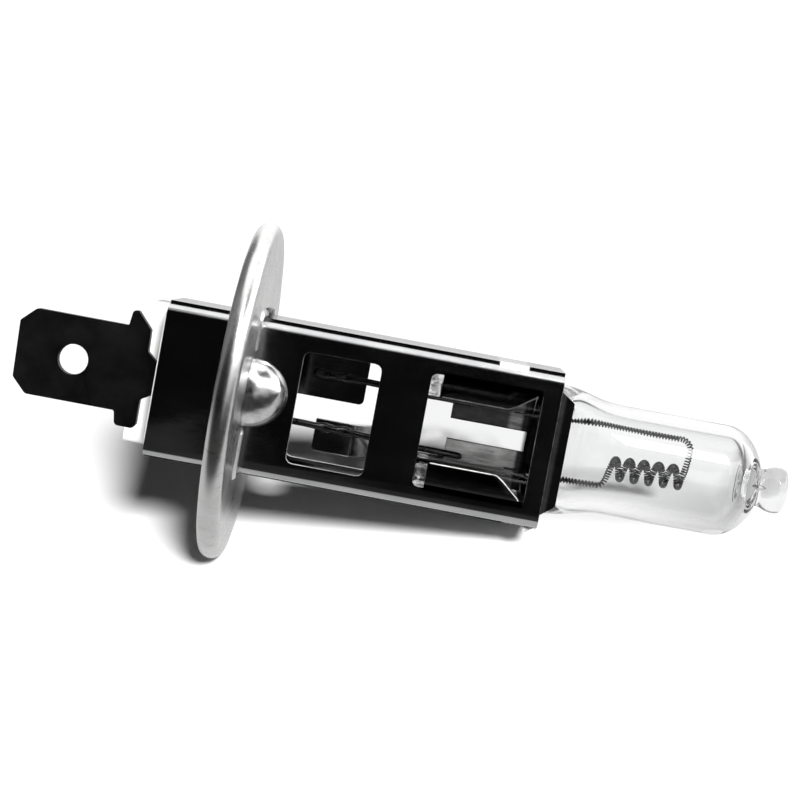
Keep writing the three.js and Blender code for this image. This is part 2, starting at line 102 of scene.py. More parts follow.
def tube(P, radius, sides, round_ends=True):
    """A closed round bar along P; radius is one number or one per point. Returns verts, faces."""
    P = np.asarray(P, float)
    R = np.full(len(P), float(radius)) if np.isscalar(radius) else np.asarray(radius, float)
    if round_ends:
        T, _, _ = frames_along(P)
        e0 = [P[0] - T[0] * R[0] * d for d in (0.95, 0.7, 0.35)]
        e1 = [P[-1] + T[-1] * R[-1] * d for d in (0.35, 0.7, 0.95)]
        P = np.vstack([e0, P, e1])
        R = np.concatenate([R[0] * np.array([0.31, 0.71, 0.94]), R, R[-1] * np.array([0.94, 0.71, 0.31])])
    _, N, B = frames_along(P)
    t = np.linspace(0, 2 * math.pi, sides, endpoint=False)
    V = P[:, None, :] + R[:, None, None] * (np.cos(t)[None, :, None] * N[:, None, :] + np.sin(t)[None, :, None] * B[:, None, :])
    return V.reshape(-1, 3), rings_to_faces(len(P), sides)


def rounded(points, steps=6):
    """Polygon with rounded corners: points are (x, y) or (x, y, radius)."""
    out = []
    n = len(points)
    for i in range(n):
        p = np.array(points[i][:2], float)
        r = points[i][2] if len(points[i]) > 2 else 0
        if not r:
            out.append(p)
            continue
        a = np.array(points[i - 1][:2], float) - p
        b = np.array(points[(i + 1) % n][:2], float) - p
        a /= np.linalg.norm(a)
        b /= np.linalg.norm(b)
        half = math.acos(max(-1, min(1, float(a @ b)))) / 2
        m = a + b
        c = p + m / np.linalg.norm(m) * r / math.sin(half)
        t = r / math.tan(half)
        s, e = p + a * t - c, p + b * t - c
        a0 = math.atan2(s[1], s[0])
        turn = (math.atan2(e[1], e[0]) - a0 + math.pi) % (2 * math.pi) - math.pi
        for k in range(steps + 1):
            q = a0 + turn * k / steps
            out.append(c + r * np.array([math.cos(q), math.sin(q)]))
    return np.array(out)


def resample(poly, n, start):
    """n points spread evenly along a closed polygon, from the point nearest start, anticlockwise."""
    poly = np.asarray(poly, float)
    area = 0.5 * np.sum(poly[:, 0] * np.roll(poly[:, 1], -1) - np.roll(poly[:, 0], -1) * poly[:, 1])
    if area < 0:
        poly = poly[::-1]
    dense = []
    for i in range(len(poly)):
        a, b = poly[i], poly[(i + 1) % len(poly)]
        k = max(1, int(np.linalg.norm(b - a) / 0.01))
        dense.extend(a + (b - a) * j / k for j in range(k))
    dense = np.array(dense)
    first = int(np.argmin(np.linalg.norm(dense - np.array(start), axis=1)))
    dense = np.roll(dense, -first, axis=0)
    seg = np.linalg.norm(np.roll(dense, -1, axis=0) - dense, axis=1)
    s = np.concatenate([[0], np.cumsum(seg)])
    want = np.arange(n) / n * s[-1]
    closed = np.vstack([dense, dense[:1]])
    return np.stack([np.interp(want, s, closed[:, 0]), np.interp(want, s, closed[:, 1])], axis=1)


def settle(v, knots):
    """Move heights a little: knots are (z, new z), straight lines between them, in millimetres."""
    z = v.z / MM
    v.z = float(np.interp(z, [k[0] for k in knots], [k[1] for k in knots])) * MM


def refine(node, name, material, width=0.05, segments=2, angle=38, sheet=0.0, worn=None, knots=None):
    """A finer copy of a CAD node: flat faces merged, every sharp edge slightly rounded."""
    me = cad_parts[node].data.copy()
    me.name = name
    me.materials.clear()
    me.materials.append(material)
    bm = bmesh.new()
    bm.from_mesh(me)
    bmesh.ops.remove_doubles(bm, verts=bm.verts, dist=3e-6)
    if knots:
        for v in bm.verts:
            settle(v.co, knots)
    bmesh.ops.dissolve_limit(bm, angle_limit=math.radians(0.6), use_dissolve_boundaries=False, verts=bm.verts, edges=bm.edges,
                             delimit={"NORMAL"})
    bmesh.ops.recalc_face_normals(bm, faces=bm.faces)
    for f in bm.faces:
        f.smooth = True
        f.material_index = 0
    for e in bm.edges:
        e.smooth = not (len(e.link_faces) == 2 and math.radians(32) < e.calc_face_angle(0) < math.radians(angle))
    cut = bm.faces.layers.float.new("cut")
    for f in bm.faces:
        lens = sorted(e.calc_length() / MM for e in f.edges)
        narrow = f.calc_area() / MM / MM / lens[-1] if lens[-1] > sheet else f.calc_area() / MM / MM / sheet if sheet else 9
        f[cut] = 1.0 if sheet and narrow < sheet * 1.08 and any(abs(l - sheet) < 0.02 for l in lens) else 0.0
    bm.to_mesh(me)
    bm.free()
    for a in [a.name for a in me.attributes if a.name == "custom_normal"]:
        me.attributes.remove(me.attributes[a])
    ob = bpy.data.objects.new(name, me)
    scene.collection.objects.link(ob)
    bev = ob.modifiers.new("edges", "BEVEL")
    bev.width = width * MM
    bev.segments = segments
    bev.limit_method = "ANGLE"
    bev.angle_limit = math.radians(angle)
    bev.miter_outer = "MITER_ARC"
    bev.harden_normals = True
    bev.use_clamp_overlap = True
    if worn is not None:
        me.materials.append(worn)
        bev.material = 1
    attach(ob, "root")
    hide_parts(node)
    return ob


def fbm(p, scale, octaves=3, seed=0.0):
    v, amp, tot = 0.0, 1.0, 0.0
    q = Vector(p) * scale + Vector((seed, seed * 1.7, -seed))
    for _ in range(octaves):
        v += amp * noise.noise(q)
        tot += amp
        amp *= 0.5
        q = q * 2.03
    return v / tot


# ------------------------------------------------------------------ materials
class Mat:
    """A small wrapper over a node tree whose coordinates are in millimetres."""

    def __init__(self, name):
        self.m = bpy.data.materials.new(name)
        self.m.use_nodes = True
        self.t = self.m.node_tree
        self.t.nodes.clear()
        self.out = self.t.nodes.new("ShaderNodeOutputMaterial")
        self.b = self.t.nodes.new("ShaderNodeBsdfPrincipled")
        self.t.links.new(self.b.outputs[0], self.out.inputs[0])
        co = self.t.nodes.new("ShaderNodeTexCoord")
        self.co = self.node("ShaderNodeVectorMath", operation="SCALE", Scale=1000.0)
        self.t.links.new(co.outputs["Object"], self.co.inputs[0])

    def node(self, kind, **kw):
        n = self.t.nodes.new(kind)
        for k, v in kw.items():
            if hasattr(n, k):
                setattr(n, k, v)
            else:
                n.inputs[k].default_value = v
        return n

    def link(self, a, b):
        self.t.links.new(a, b)

    def set(self, **kw):
        for k, v in kw.items():
            self.b.inputs[k.replace("_", " ")].default_value = v
        return self

    def coords(self, scale=(1, 1, 1)):
        n = self.node("ShaderNodeVectorMath", operation="MULTIPLY")
        n.inputs[1].default_value = scale
        self.link(self.co.outputs[0], n.inputs[0])
        return n.outputs[0]

    def noise(self, scale, detail=3.0, rough=0.5, stretch=(1, 1, 1), distortion=0.0):
        n = self.node("ShaderNodeTexNoise", Scale=scale, Detail=detail, Roughness=rough, Distortion=distortion)
        self.link(self.coords(stretch), n.inputs["Vector"])
        return n.outputs["Fac"]

    def ramp(self, fac, *stops, interpolation="LINEAR"):
        r = self.node("ShaderNodeValToRGB")
        cr = r.color_ramp
        cr.interpolation = interpolation
        while len(cr.elements) < len(stops):
            cr.elements.new(0.5)
        for e, (p, c) in zip(cr.elements, stops):
            e.position = p
            e.color = (*c, 1) if len(c) == 3 else c
        self.link(fac, r.inputs[0])
        return r.outputs[0]

    def grey(self, fac, p0, v0, p1, v1):
        n = self.node("ShaderNodeMapRange")
        n.inputs["From Min"].default_value, n.inputs["From Max"].default_value = p0, p1
        n.inputs["To Min"].default_value, n.inputs["To Max"].default_value = v0, v1
        self.link(fac, n.inputs["Value"])
        return n.outputs[0]

    def math(self, op, a, b=None):
        n = self.node("ShaderNodeMath", operation=op)
        for i, v in enumerate([a, b]):
            if v is None:
                continue
            if isinstance(v, (int, float)):
                n.inputs[i].default_value = v
            else:
                self.link(v, n.inputs[i])
        return n.outputs[0]

    def mix(self, fac, a, b):
        n = self.node("ShaderNodeMix", data_type="RGBA")
        for sock, v in ((n.inputs[0], fac), (n.inputs[6], a), (n.inputs[7], b)):
            if isinstance(v, (int, float)):
                sock.default_value = v
            elif isinstance(v, tuple):
                sock.default_value = (*v, 1)
            else:
                self.link(v, sock)
        return n.outputs[2]

    def colour(self, sock):
        self.link(sock, self.b.inputs["Base Color"])

    def rough(self, sock):
        self.link(sock, self.b.inputs["Roughness"])

    def bump(self, height, strength=0.3, distance=0.00002):
        n = self.node("ShaderNodeBump", Strength=strength, Distance=distance)
        self.link(height, n.inputs["Height"])
        if self.b.inputs["Normal"].is_linked:
            self.link(self.b.inputs["Normal"].links[0].from_socket, n.inputs["Normal"])
        self.link(n.outputs[0], self.b.inputs["Normal"])


def make_materials():
    M = {}
    # plated sleeve: smooth, dark in the broad faces, with drawing lines, faint smudges and specks
    m = Mat("plated_steel").set(Metallic=1.0)
    smudge = m.noise(0.32, 4, 0.6, (0.6, 1, 1), 0.4)
    lines = m.noise(3.2, 4, 0.7, (0.05, 1, 1))
    speck = m.noise(9.0, 2, 0.5)
    tone = m.mix(m.grey(smudge, 0.35, 0.0, 0.7, 1.0), (0.36, 0.365, 0.37), (0.48, 0.48, 0.48))
    tone = m.mix(m.grey(speck, 0.70, 0.0, 0.76, 0.55), tone, (0.85, 0.85, 0.84))
    xyz = m.node("ShaderNodeSeparateXYZ")
    m.link(m.co.outputs[0], xyz.inputs[0])
    az_ = m.math("ABSOLUTE", xyz.outputs[2])
    ay_ = m.math("ABSOLUTE", xyz.outputs[1])
    # painted shade: the sleeve's inner faces are darkened, lightly up to x 11.5 mm and strongly from x 13.2 mm on,
    # where the tongues bend in, and once more in streaks
    inside = m.math("MULTIPLY", m.grey(ay_, 4.05, 1.0, 4.12, 0.0), m.grey(az_, 4.85, 1.0, 4.95, 0.0))
    darker_zone = m.math("MULTIPLY", inside, m.grey(xyz.outputs[0], 11.5, 0.25, 13.2, 1.0))
    tone = m.mix(m.math("MULTIPLY", darker_zone, 0.88), tone, (0.02, 0.02, 0.02))
    streak = m.noise(4.5, 4, 0.75, (0.08, 1, 1))
    tone = m.mix(m.math("MULTIPLY", inside, m.grey(streak, 0.35, 0.75, 0.62, 0.15)), tone, (0.04, 0.04, 0.04))
    # painted shade: dark strips along the folds where the front tongues bend in
    fold_shade = m.math("MULTIPLY", m.grey(xyz.outputs[0], 13.3, 0.0, 13.4, 1.0), m.grey(xyz.outputs[0], 20.5, 1.0, 20.6, 0.0))
    fold_shade = m.math("MULTIPLY", fold_shade, m.math("MULTIPLY", m.grey(az_, 3.4, 0.0, 3.5, 1.0), m.grey(az_, 4.2, 1.0, 4.3, 0.0)))
    fold_shade = m.math("MULTIPLY", fold_shade, m.grey(xyz.outputs[1], -3.5, 1.0, -3.3, 0.0))
    tone = m.mix(fold_shade, tone, (0.015, 0.015, 0.015))
    # a few faint scratches on the broad faces
    scuff = m.noise(2.2, 2, 0.4, (0.05, 1, 1), 0.8)
    where = m.noise(0.35, 2, 0.5)
    scratch = m.math("MULTIPLY", m.grey(scuff, 0.74, 0.0, 0.755, 1.0), m.grey(where, 0.52, 0.0, 0.6, 0.5))
    tone = m.mix(scratch, tone, (0.9, 0.9, 0.9))
    cut = m.node("ShaderNodeAttribute", attribute_name="cut").outputs["Fac"]
    # painted shadow: cut edges where the sheets lap, 5.05 to 5.53 mm from the axis, are painted dark as the gap between
    # the sheets, except over the tab; cut edges more than 5 mm below the axis get a weaker painted shade
    lapped = m.math("MULTIPLY", m.grey(az_, 5.05, 0.0, 5.1, 1.0), m.grey(az_, 5.50, 1.0, 5.53, 0.0))
    tab_ = m.math("MULTIPLY", m.grey(xyz.outputs[0], 17.15, 0.0, 17.25, 1.0), m.grey(xyz.outputs[0], 19.25, 1.0, 19.35, 0.0))
    tab_ = m.math("MULTIPLY", tab_, m.grey(xyz.outputs[2], 4.0, 0.0, 4.1, 1.0))
    lapped = m.math("MULTIPLY", lapped, m.math("SUBTRACT", 1.0, m.math("MULTIPLY", tab_, 0.9)))
    under = m.math("MULTIPLY", m.grey(xyz.outputs[2], -5.0, 1.0, -4.9, 0.0), 0.25)
    lap_gap_shade = m.math("MULTIPLY", cut, m.math("MAXIMUM", lapped, under))
    cut = m.math("SUBTRACT", cut, m.math("MULTIPLY", lap_gap_shade, 0.95))
    tone = m.mix(lap_gap_shade, tone, (0.02, 0.02, 0.02))
    worn = m.math("MULTIPLY", cut, m.grey(m.noise(2.6, 4, 0.6), 0.25, 0.35, 0.6, 1.0))
    # painted highlight: a dull, pale patch on the top edge over the tab, from x 17.2 to 19.3 mm
    tab_highlight = m.math("MULTIPLY", tab_, m.grey(xyz.outputs[2], 5.30, 0.0, 5.36, 1.0))
    m.colour(m.mix(tab_highlight, m.mix(worn, tone, (0.80, 0.80, 0.79)), (0.80, 0.80, 0.79)))
    r = m.math("ADD", m.grey(smudge, 0.3, 0.07, 0.75, 0.13), m.grey(lines, 0.35, 0.0, 0.75, 0.04))
    m.rough(m.math("ADD", r, m.math("MULTIPLY", worn, 0.28)))
    m.link(m.math("SUBTRACT", 1.0, m.math("MAXIMUM", m.math("MULTIPLY", worn, 0.55), m.math("MULTIPLY", tab_highlight, 0.9))), m.b.inputs["Metallic"])
    m.bump(lines, 0.10, 0.00001)
    m.bump(m.noise(1.1, 3, 0.5), 0.10, 0.00004)
    M["sleeve_steel"] = m.m

    # the sheet's rubbed edges
    m = Mat("worn_edge").set(Metallic=0.75)
    rub = m.noise(1.8, 4, 0.65)
    m.colour(m.mix(m.grey(rub, 0.3, 0.0, 0.62, 1.0), (0.22, 0.22, 0.22), (0.78, 0.78, 0.77)))
    m.rough(m.grey(rub, 0.3, 0.22, 0.7, 0.38))
    m.bump(m.noise(8.0, 3, 0.6), 0.15, 0.00001)
    M["worn_edge"] = m.m

    # blade: dull, tarnished
    m = Mat("tarnished_steel").set(Metallic=1.0)
    cloud = m.noise(0.55, 5, 0.65, (1, 1, 1), 0.3)
    grain = m.noise(14.0, 3, 0.7)
    brush = m.noise(5.0, 3, 0.7, (0.06, 1, 1))
    tone = m.mix(m.grey(cloud, 0.3, 0.0, 0.75, 1.0), (0.022, 0.022, 0.023), (0.045, 0.045, 0.046))
    tone = m.mix(m.grey(grain, 0.68, 0.0, 0.80, 0.6), tone, (0.20, 0.20, 0.20))
    m.colour(tone)
    m.rough(m.math("ADD", m.grey(cloud, 0.3, 0.42, 0.7, 0.55), m.grey(brush, 0.3, 0.0, 0.7, 0.08)))
    m.bump(grain, 0.25, 0.00001)
    m.bump(brush, 0.12, 0.00001)
    M["blade_steel"] = m.m

    # flange: brushed nickel with a darker streak
    m = Mat("brushed_nickel").set(Metallic=1.0)
    cloud = m.noise(0.28, 4, 0.6, (1, 1, 1), 0.5)
    fine = m.noise(6.0, 4, 0.75, (4.0, 0.25, 0.25))
    stain = m.noise(0.9, 5, 0.6, (0.5, 1, 1), 1.2)
    tone = m.mix(m.grey(cloud, 0.35, 0.0, 0.7, 1.0), (0.50, 0.50, 0.497), (0.66, 0.66, 0.655))
    tone = m.mix(m.grey(stain, 0.58, 0.0, 0.74, 0.5), tone, (0.26, 0.25, 0.24))
    # a mask over the pressed web inside the rim; nothing uses it
    fx = m.node("ShaderNodeSeparateXYZ")
    m.link(m.co.outputs[0], fx.inputs[0])
    rad_ = m.math("SQRT", m.math("ADD", m.math("POWER", fx.outputs[1], 2.0), m.math("POWER", fx.outputs[2], 2.0)))
    web_ = m.math("MULTIPLY", m.grey(rad_, 10.5, 1.0, 11.1, 0.0), m.grey(m.math("ABSOLUTE", fx.outputs[2]), 5.3, 1.0, 6.2, 0.0))
    m.colour(tone)
    m.rough(m.math("ADD", m.grey(cloud, 0.3, 0.22, 0.7, 0.31), m.grey(fine, 0.3, 0.0, 0.7, 0.06)))
    m.bump(fine, 0.18, 0.00001)
    m.bump(m.noise(1.6, 4, 0.5), 0.12, 0.00004)
    M["flange_nickel"] = m.m

    # bead: bright, slightly wrinkled
    m = Mat("bright_solder").set(Metallic=1.0)
    c = m.noise(1.4, 4, 0.6, (1, 1, 1), 0.6)
    m.colour(m.mix(m.grey(c, 0.35, 0.0, 0.7, 1.0), (0.48, 0.48, 0.48), (0.70, 0.70, 0.70)))
    m.rough(m.grey(m.noise(2.4, 3, 0.5), 0.3, 0.15, 0.75, 0.27))
    m.bump(c, 0.08, 0.00005)
    M["bead_metal"] = m.m

    # wires
    m = Mat("drawn_wire").set(Metallic=1.0)
    g = m.noise(7.0, 3, 0.6, (0.12, 1, 1))
    m.colour(m.mix(m.grey(g, 0.3, 0.0, 0.7, 1.0), (0.035, 0.035, 0.035), (0.10, 0.10, 0.10)))
    m.rough(m.grey(m.noise(2.0, 3, 0.6), 0.3, 0.22, 0.7, 0.40))
    m.bump(g, 0.2, 0.00001)
    M["wire_metal"] = m.m

    # strips inside the sleeve
    m = Mat("dull_strip").set(Metallic=1.0)
    c = m.noise(0.8, 5, 0.6, (1, 1, 1), 0.4)
    g = m.noise(6.0, 3, 0.7, (0.08, 1, 1))
    m.colour(m.mix(m.grey(c, 0.3, 0.0, 0.7, 1.0), (0.34, 0.34, 0.34), (0.52, 0.52, 0.52)))
    m.rough(m.math("ADD", m.grey(c, 0.3, 0.08, 0.7, 0.14), m.grey(g, 0.3, 0.0, 0.7, 0.05)))
    m.bump(g, 0.12, 0.00001)
    m.bump(m.noise(2.2, 3, 0.5), 0.06, 0.00003)
    M["strip_metal"] = m.m

    # foils: rolled, with long streaks
    m = Mat("rolled_foil").set(Metallic=1.0)
    g = m.noise(3.0, 4, 0.65, (0.10, 1, 1))
    c = m.noise(0.9, 4, 0.6)
    tone = m.mix(m.grey(g, 0.3, 0.0, 0.72, 1.0), (0.16, 0.16, 0.16), (0.62, 0.62, 0.61))
    tone = m.mix(m.grey(c, 0.45, 0.0, 0.75, 0.5), tone, (0.80, 0.80, 0.79))
    xyz = m.node("ShaderNodeSeparateXYZ")
    m.link(m.co.outputs[0], xyz.inputs[0])
    tone = m.mix(m.grey(xyz.outputs[0], 19.55, 0.0, 19.8, 0.9), tone, (0.012, 0.012, 0.012))
    # the upper foil is darkened up to x 18.6 mm, much less from x 18.9 mm on
    darker_zone = m.math("MULTIPLY", m.grey(xyz.outputs[2], -0.2, 0.0, 0.2, 1.0), m.grey(xyz.outputs[0], 18.6, 0.85, 18.9, 0.1))
    tone = m.mix(darker_zone, tone, (0.015, 0.015, 0.015))
    m.colour(tone)
    m.rough(m.grey(g, 0.3, 0.32, 0.7, 0.5))
    m.bump(g, 0.3, 0.00003)
    M["foil_metal"] = m.m

    # tungsten
    m = Mat("tungsten_wire").set(Metallic=1.0)
    g = m.noise(20.0, 2, 0.6)
    tz = m.node("ShaderNodeSeparateXYZ")
    m.link(m.co.outputs[0], tz.inputs[0])
    # painted highlight: the coil gets a lighter, more reflective tone than the legs, though it is the same wire
    body = m.grey(m.math("ABSOLUTE", tz.outputs[2]), 1.1, 1.0, 1.6, 0.0)
    legs = m.mix(m.grey(g, 0.3, 0.0, 0.7, 1.0), (0.04, 0.04, 0.041), (0.11, 0.11, 0.112))
    coil = m.mix(m.grey(g, 0.3, 0.0, 0.7, 1.0), (0.12, 0.12, 0.122), (0.32, 0.32, 0.325))
    m.colour(m.mix(body, legs, coil))
    m.rough(m.grey(m.noise(3.0, 3, 0.6), 0.3, 0.32, 0.7, 0.5))
    M["tungsten"] = m.m

    # ceramic
    m = Mat("white_ceramic").set(Metallic=0.0)
    c = m.noise(0.7, 5, 0.6)
    speck = m.noise(5.5, 2, 0.5)
    tone = m.mix(m.grey(c, 0.3, 0.0, 0.75, 1.0), (0.50, 0.497, 0.49), (0.58, 0.577, 0.57))
    tone = m.mix(m.grey(speck, 0.70, 0.0, 0.76, 0.8), tone, (0.25, 0.24, 0.23))
    m.colour(tone)
    m.rough(m.grey(c, 0.3, 0.55, 0.7, 0.75))
    m.bump(m.noise(9.0, 4, 0.6), 0.3, 0.00002)
    m.bump(m.noise(1.5, 3, 0.6), 0.2, 0.00005)
    M["ceramic"] = m.m

    # fused quartz
    m = Mat("fused_quartz").set(Metallic=0.0)
    m.set(Transmission_Weight=1.0, IOR=1.44)
    qx = m.node("ShaderNodeSeparateXYZ")
    m.link(m.co.outputs[0], qx.inputs[0])
    # painted shade: dark zones in the glass, over the rear of the pinch away from its middle (broken up by a noise) and
    # in a band at the pinch's end, x 20 to 21 mm
    rib = m.math("MULTIPLY", m.grey(qx.outputs[0], 14.0, 1.0, 14.6, 0.0), m.grey(m.math("ABSOLUTE", qx.outputs[2]), 2.6, 0.0, 2.8, 1.0))
    blot = m.grey(m.noise(1.5, 3, 0.7), 0.42, 0.12, 0.58, 0.95)
    pinch_end_shade = m.math("MULTIPLY", m.grey(qx.outputs[0], 19.9, 0.0, 20.1, 1.0), m.grey(qx.outputs[0], 20.9, 1.0, 21.1, 0.0))
    dim = m.math("MAXIMUM", m.math("MULTIPLY", rib, m.math("SUBTRACT", 1.0, blot)), m.math("MULTIPLY", pinch_end_shade, 0.9))
    m.colour(m.mix(dim, (0.99, 0.993, 0.994), (0.05, 0.05, 0.05)))
    m.rough(m.grey(m.noise(0.6, 4, 0.6), 0.3, 0.0, 0.8, 0.015))
    m.bump(m.noise(0.45, 3, 0.5, (0.35, 1, 1)), 0.10, 0.00008)
    # light passes the glass and leaves only a soft shade
    path = m.node("ShaderNodeLightPath")
    clear_ = m.node("ShaderNodeBsdfTransparent")
    clear_.inputs[0].default_value = (0.94, 0.94, 0.94, 1)
    mx_ = m.node("ShaderNodeMixShader")
    m.link(path.outputs["Is Shadow Ray"], mx_.inputs[0])
    m.link(m.b.outputs[0], mx_.inputs[1])
    m.link(clear_.outputs[0], mx_.inputs[2])
    m.link(mx_.outputs[0], m.out.inputs[0])
    M["quartz"] = m.m
    return M


MATS = make_materials()

# ------------------------------------------------------------------ dimensions shared with the CAD (millimetres)
D = 4.2
FRONT_Z, BACK_Z = (-5.2, 5.3), (-5.57, 5.67)
LEG_Y, UP_LEG, LO_LEG = 0.14, 2.38, -2.04


# ------------------------------------------------------------------ sheet-metal pieces, from the CAD with rounded edges
refine("front_shell", "front_shell_fine", MATS["sleeve_steel"], 0.08, 3, angle=60, sheet=0.4, worn=MATS["worn_edge"],
       knots=[(-5.2, -5.47), (-4.65, -4.92), (-4.3, -4.3), (4.3, 4.3), (4.75, 4.90), (5.3, 5.45)])
refine("back_shell", "back_shell_fine", MATS["sleeve_steel"], 0.03, 2, angle=60, sheet=0.34, worn=MATS["worn_edge"],
       knots=[(-6.0, -6.02), (-5.57, -5.60), (-5.23, -5.48), (-4.8, -4.85), (4.9, 4.95), (5.33, 5.45), (5.67, 5.70)])
blade_ob = refine("terminal_blade", "terminal_blade_fine", MATS["blade_steel"], 0.07, 3)
refine("contact_strip", "contact_strip_fine", MATS["strip_metal"], 0.06, 2)
refine("earth_strap", "earth_strap_fine", MATS["strip_metal"], 0.06, 2)
refine("blade_rivet", "blade_rivet_fine", MATS["strip_metal"], 0.05, 2, angle=50)
block_ob = refine("insulator", "insulator_fine", MATS["ceramic"], 0.14, 3)
for ob_ in (blade_ob, block_ob):
    ob_.visible_shadow = False                # no shadow on the ground under the blade


def catmull(P, per=12):
    P = np.asarray(P, float)
    Q = np.vstack([2 * P[0] - P[1], P, 2 * P[-1] - P[-2]])
    out = []
    for i in range(1, len(Q) - 2):
        a, b, c, d = Q[i - 1], Q[i], Q[i + 1], Q[i + 2]
        for k in range(per):
            t = k / per
            out.append(0.5 * (2 * b + (c - a) * t + (2 * a - 5 * b + 4 * c - d) * t * t + (3 * b - a - 3 * c + d) * t ** 3))
    out.append(Q[-2])
    return np.array(out)


# the rubbed cut edges of the bent tongues, a fine rounded rim along each free edge; the upper rims carry a painted
# highlight, the lower rims a painted shade
def tongue_rims():
    m = Mat("tongue_rim_lit_and_shaded").set(Metallic=0.35)
    rub = m.noise(2.4, 4, 0.65)
    hz = m.node("ShaderNodeSeparateXYZ")
    m.link(m.co.outputs[0], hz.inputs[0])
    # painted highlight on the upper rims and painted shade on the lower rims, each with a rubbed variation
    rubbed_and_lit = m.mix(m.grey(rub, 0.3, 0.0, 0.62, 1.0), (0.34, 0.34, 0.34), (0.80, 0.80, 0.79))
    dull_and_shaded = m.mix(m.grey(rub, 0.3, 0.0, 0.62, 1.0), (0.03, 0.03, 0.03), (0.13, 0.13, 0.13))
    m.colour(m.mix(m.grey(hz.outputs[2], -0.5, 0.0, 0.5, 1.0), rubbed_and_lit, dull_and_shaded))
    m.rough(m.grey(rub, 0.3, 0.25, 0.7, 0.4))
    ang = math.radians(48)
    reach = 1.41 / math.cos(ang) - 0.03
    for side, face in (("front", -1), ("back", 1)):
        for name, z_ in (("upper", 1), ("lower", -1)):
            def on(x, v):
                return (x, face * (D + 0.01 - v * math.sin(ang)), z_ * (3.8 - v * math.cos(ang)))
            path = [on(13.55, reach), on(14.2, reach), on(15.4, reach), on(16.8, reach), on(17.9, reach), on(18.35, reach - 0.01),
                    on(18.55, reach - 0.10), on(19.0, reach * 0.75), on(19.6, reach * 0.41), on(20.1, reach * 0.13), on(20.22, 0.05)]
            P = catmull([list(p) for p in path], 6)
            P = P[1:-1]
            V, F = tube(P, 0.048, 8)
            piece("tongue_rim_%s_%s" % (side, name), V, F, m.m)


tongue_rims()


# ------------------------------------------------------------------ flange
def flange():
    n = 240
    R, T, web = 12.4, 1.6, 0.9
    fit = 0.05
    zl, zh = BACK_Z
    zc = (zl + zh) / 2

    def rect(grow, r):
        return rounded([(-D - grow, zl - grow, r), (D + grow, zl - grow, r), (D + grow, zh + grow, r), (-D - grow, zh + grow, r)], 8)

    t = np.linspace(0, 2 * math.pi, n, endpoint=False)

    def by_angle(poly):
        # the polygon's point in each direction from its own centre, so that rings line up
        poly = np.vstack([poly, poly[:1]])
        out = []
        for a in t:
            d = np.array([math.cos(a), math.sin(a)])
            best = None
            for p, q in zip(poly[:-1], poly[1:]):
                p0, e = p - np.array([0, zc]), q - p
                det = -d[0] * e[1] + d[1] * e[0]
                if abs(det) < 1e-9:
                    continue
                s = (-p0[0] * e[1] + p0[1] * e[0]) / det
                u = (d[0] * p0[1] - d[1] * p0[0]) / det
                if s > 0 and -1e-6 <= u <= 1 + 1e-6:
                    best = s
            out.append(d * best + np.array([0, zc]))
        return np.array(out)

    hole = by_angle(rect(fit, 0.5))
    col0 = by_angle(rect(0.16, 0.55))
    col1 = by_angle(rect(0.42, 0.8))
    col2 = by_angle(rect(0.55, 0.9))
    circle = np.stack([np.cos(t), np.sin(t)], axis=1)
    rings = []

    def add(x, yz):
        rings.append(np.column_stack([np.full(n, x), yz[:, 0], yz[:, 1]]))

    # the collar is pressed flat again under the two beads
    flat = np.array([min(1.0, max(0.0, (abs(h[1] - 0.35) - 2.55) / 0.3)) if abs(h[0]) > 4.2 else 1.0 for h in hole])
    for lift, ring_ in ((None, hole), (0.18, hole), (0.24, (hole + col0) / 2), (0.26, col0), (0.24, (col0 + 2 * col1) / 3), (0.14, col1),
                        (0.03, (col1 + 2 * col2) / 3), (0.0, col2)):
        if lift is None:
            add(-web, ring_)
        else:
            rings.append(np.column_stack([lift * flat, ring_[:, 0], ring_[:, 1]]))
    add(0.0, (2 * col2 + circle * 9.6) / 3)
    add(0.0, circle * 9.6)
    add(0.0, circle * (R - T / 2 - 0.3))
    for k in range(15):
        a = math.pi / 2 - math.pi * k / 14
        add(-T / 2 + T / 2 * math.sin(a), circle * (R - T / 2 + T / 2 * math.cos(a)))
    add(-T + 0.03, circle * (R - 1.15))
    add(-T + 0.16, circle * (R - 1.36))
    add(-web - 0.12, circle * (R - 1.70))
    add(-web - 0.02, circle * (R - 1.85))
    add(-web, circle * (R - 2.1))
    add(-web, (hole + circle * (R - 2.1)) / 2)
    V = np.vstack(rings)
    # the rim has small hammered waves, and the web is not quite flat
    for i, v in enumerate(V):
        r = math.hypot(v[1], v[2])
        if r > 7.5:
            w = min(1.0, (r - 7.5) / 3)
            k = fbm((v[0] * 0.5, v[1], v[2]), 0.35, 2, 3.0)
            V[i, 0] += 0.03 * w * k * (1 if v[0] > -0.2 else 0.6)
            if r > 11:
                V[i, 1:] *= 1 - 0.0012 * abs(k)
    V[:, 0] = np.clip(V[:, 0], -1.6, 0.26)
    faces = rings_to_faces(len(rings), n, closed=True)
    piece("flange_ring_fine", V, faces, MATS["flange_nickel"], ["flange_ring"])
    # the lug above the sleeve: a small pressed ear that narrows towards its face
    prof = rounded([(-1.15, BACK_Z[1] + 0.08, 0.1), (1.15, BACK_Z[1] + 0.08, 0.1), (1.0, BACK_Z[1] + 0.62, 0.2), (-1.0, BACK_Z[1] + 0.62, 0.2)], 4)
    k = len(prof)
    rr = []
    for x, s in ((0.002, 1.0), (0.16, 1.0), (0.28, 0.97), (0.42, 0.9), (0.48, 0.75)):
        c = prof.mean(axis=0)
        q = c + (prof - c) * s
        rr.append(np.column_stack([np.full(k, x), q[:, 0], q[:, 1]]))
    piece("flange_lug", np.vstack(rr), rings_to_faces(len(rr), k), MATS["wire_metal"])


flange()


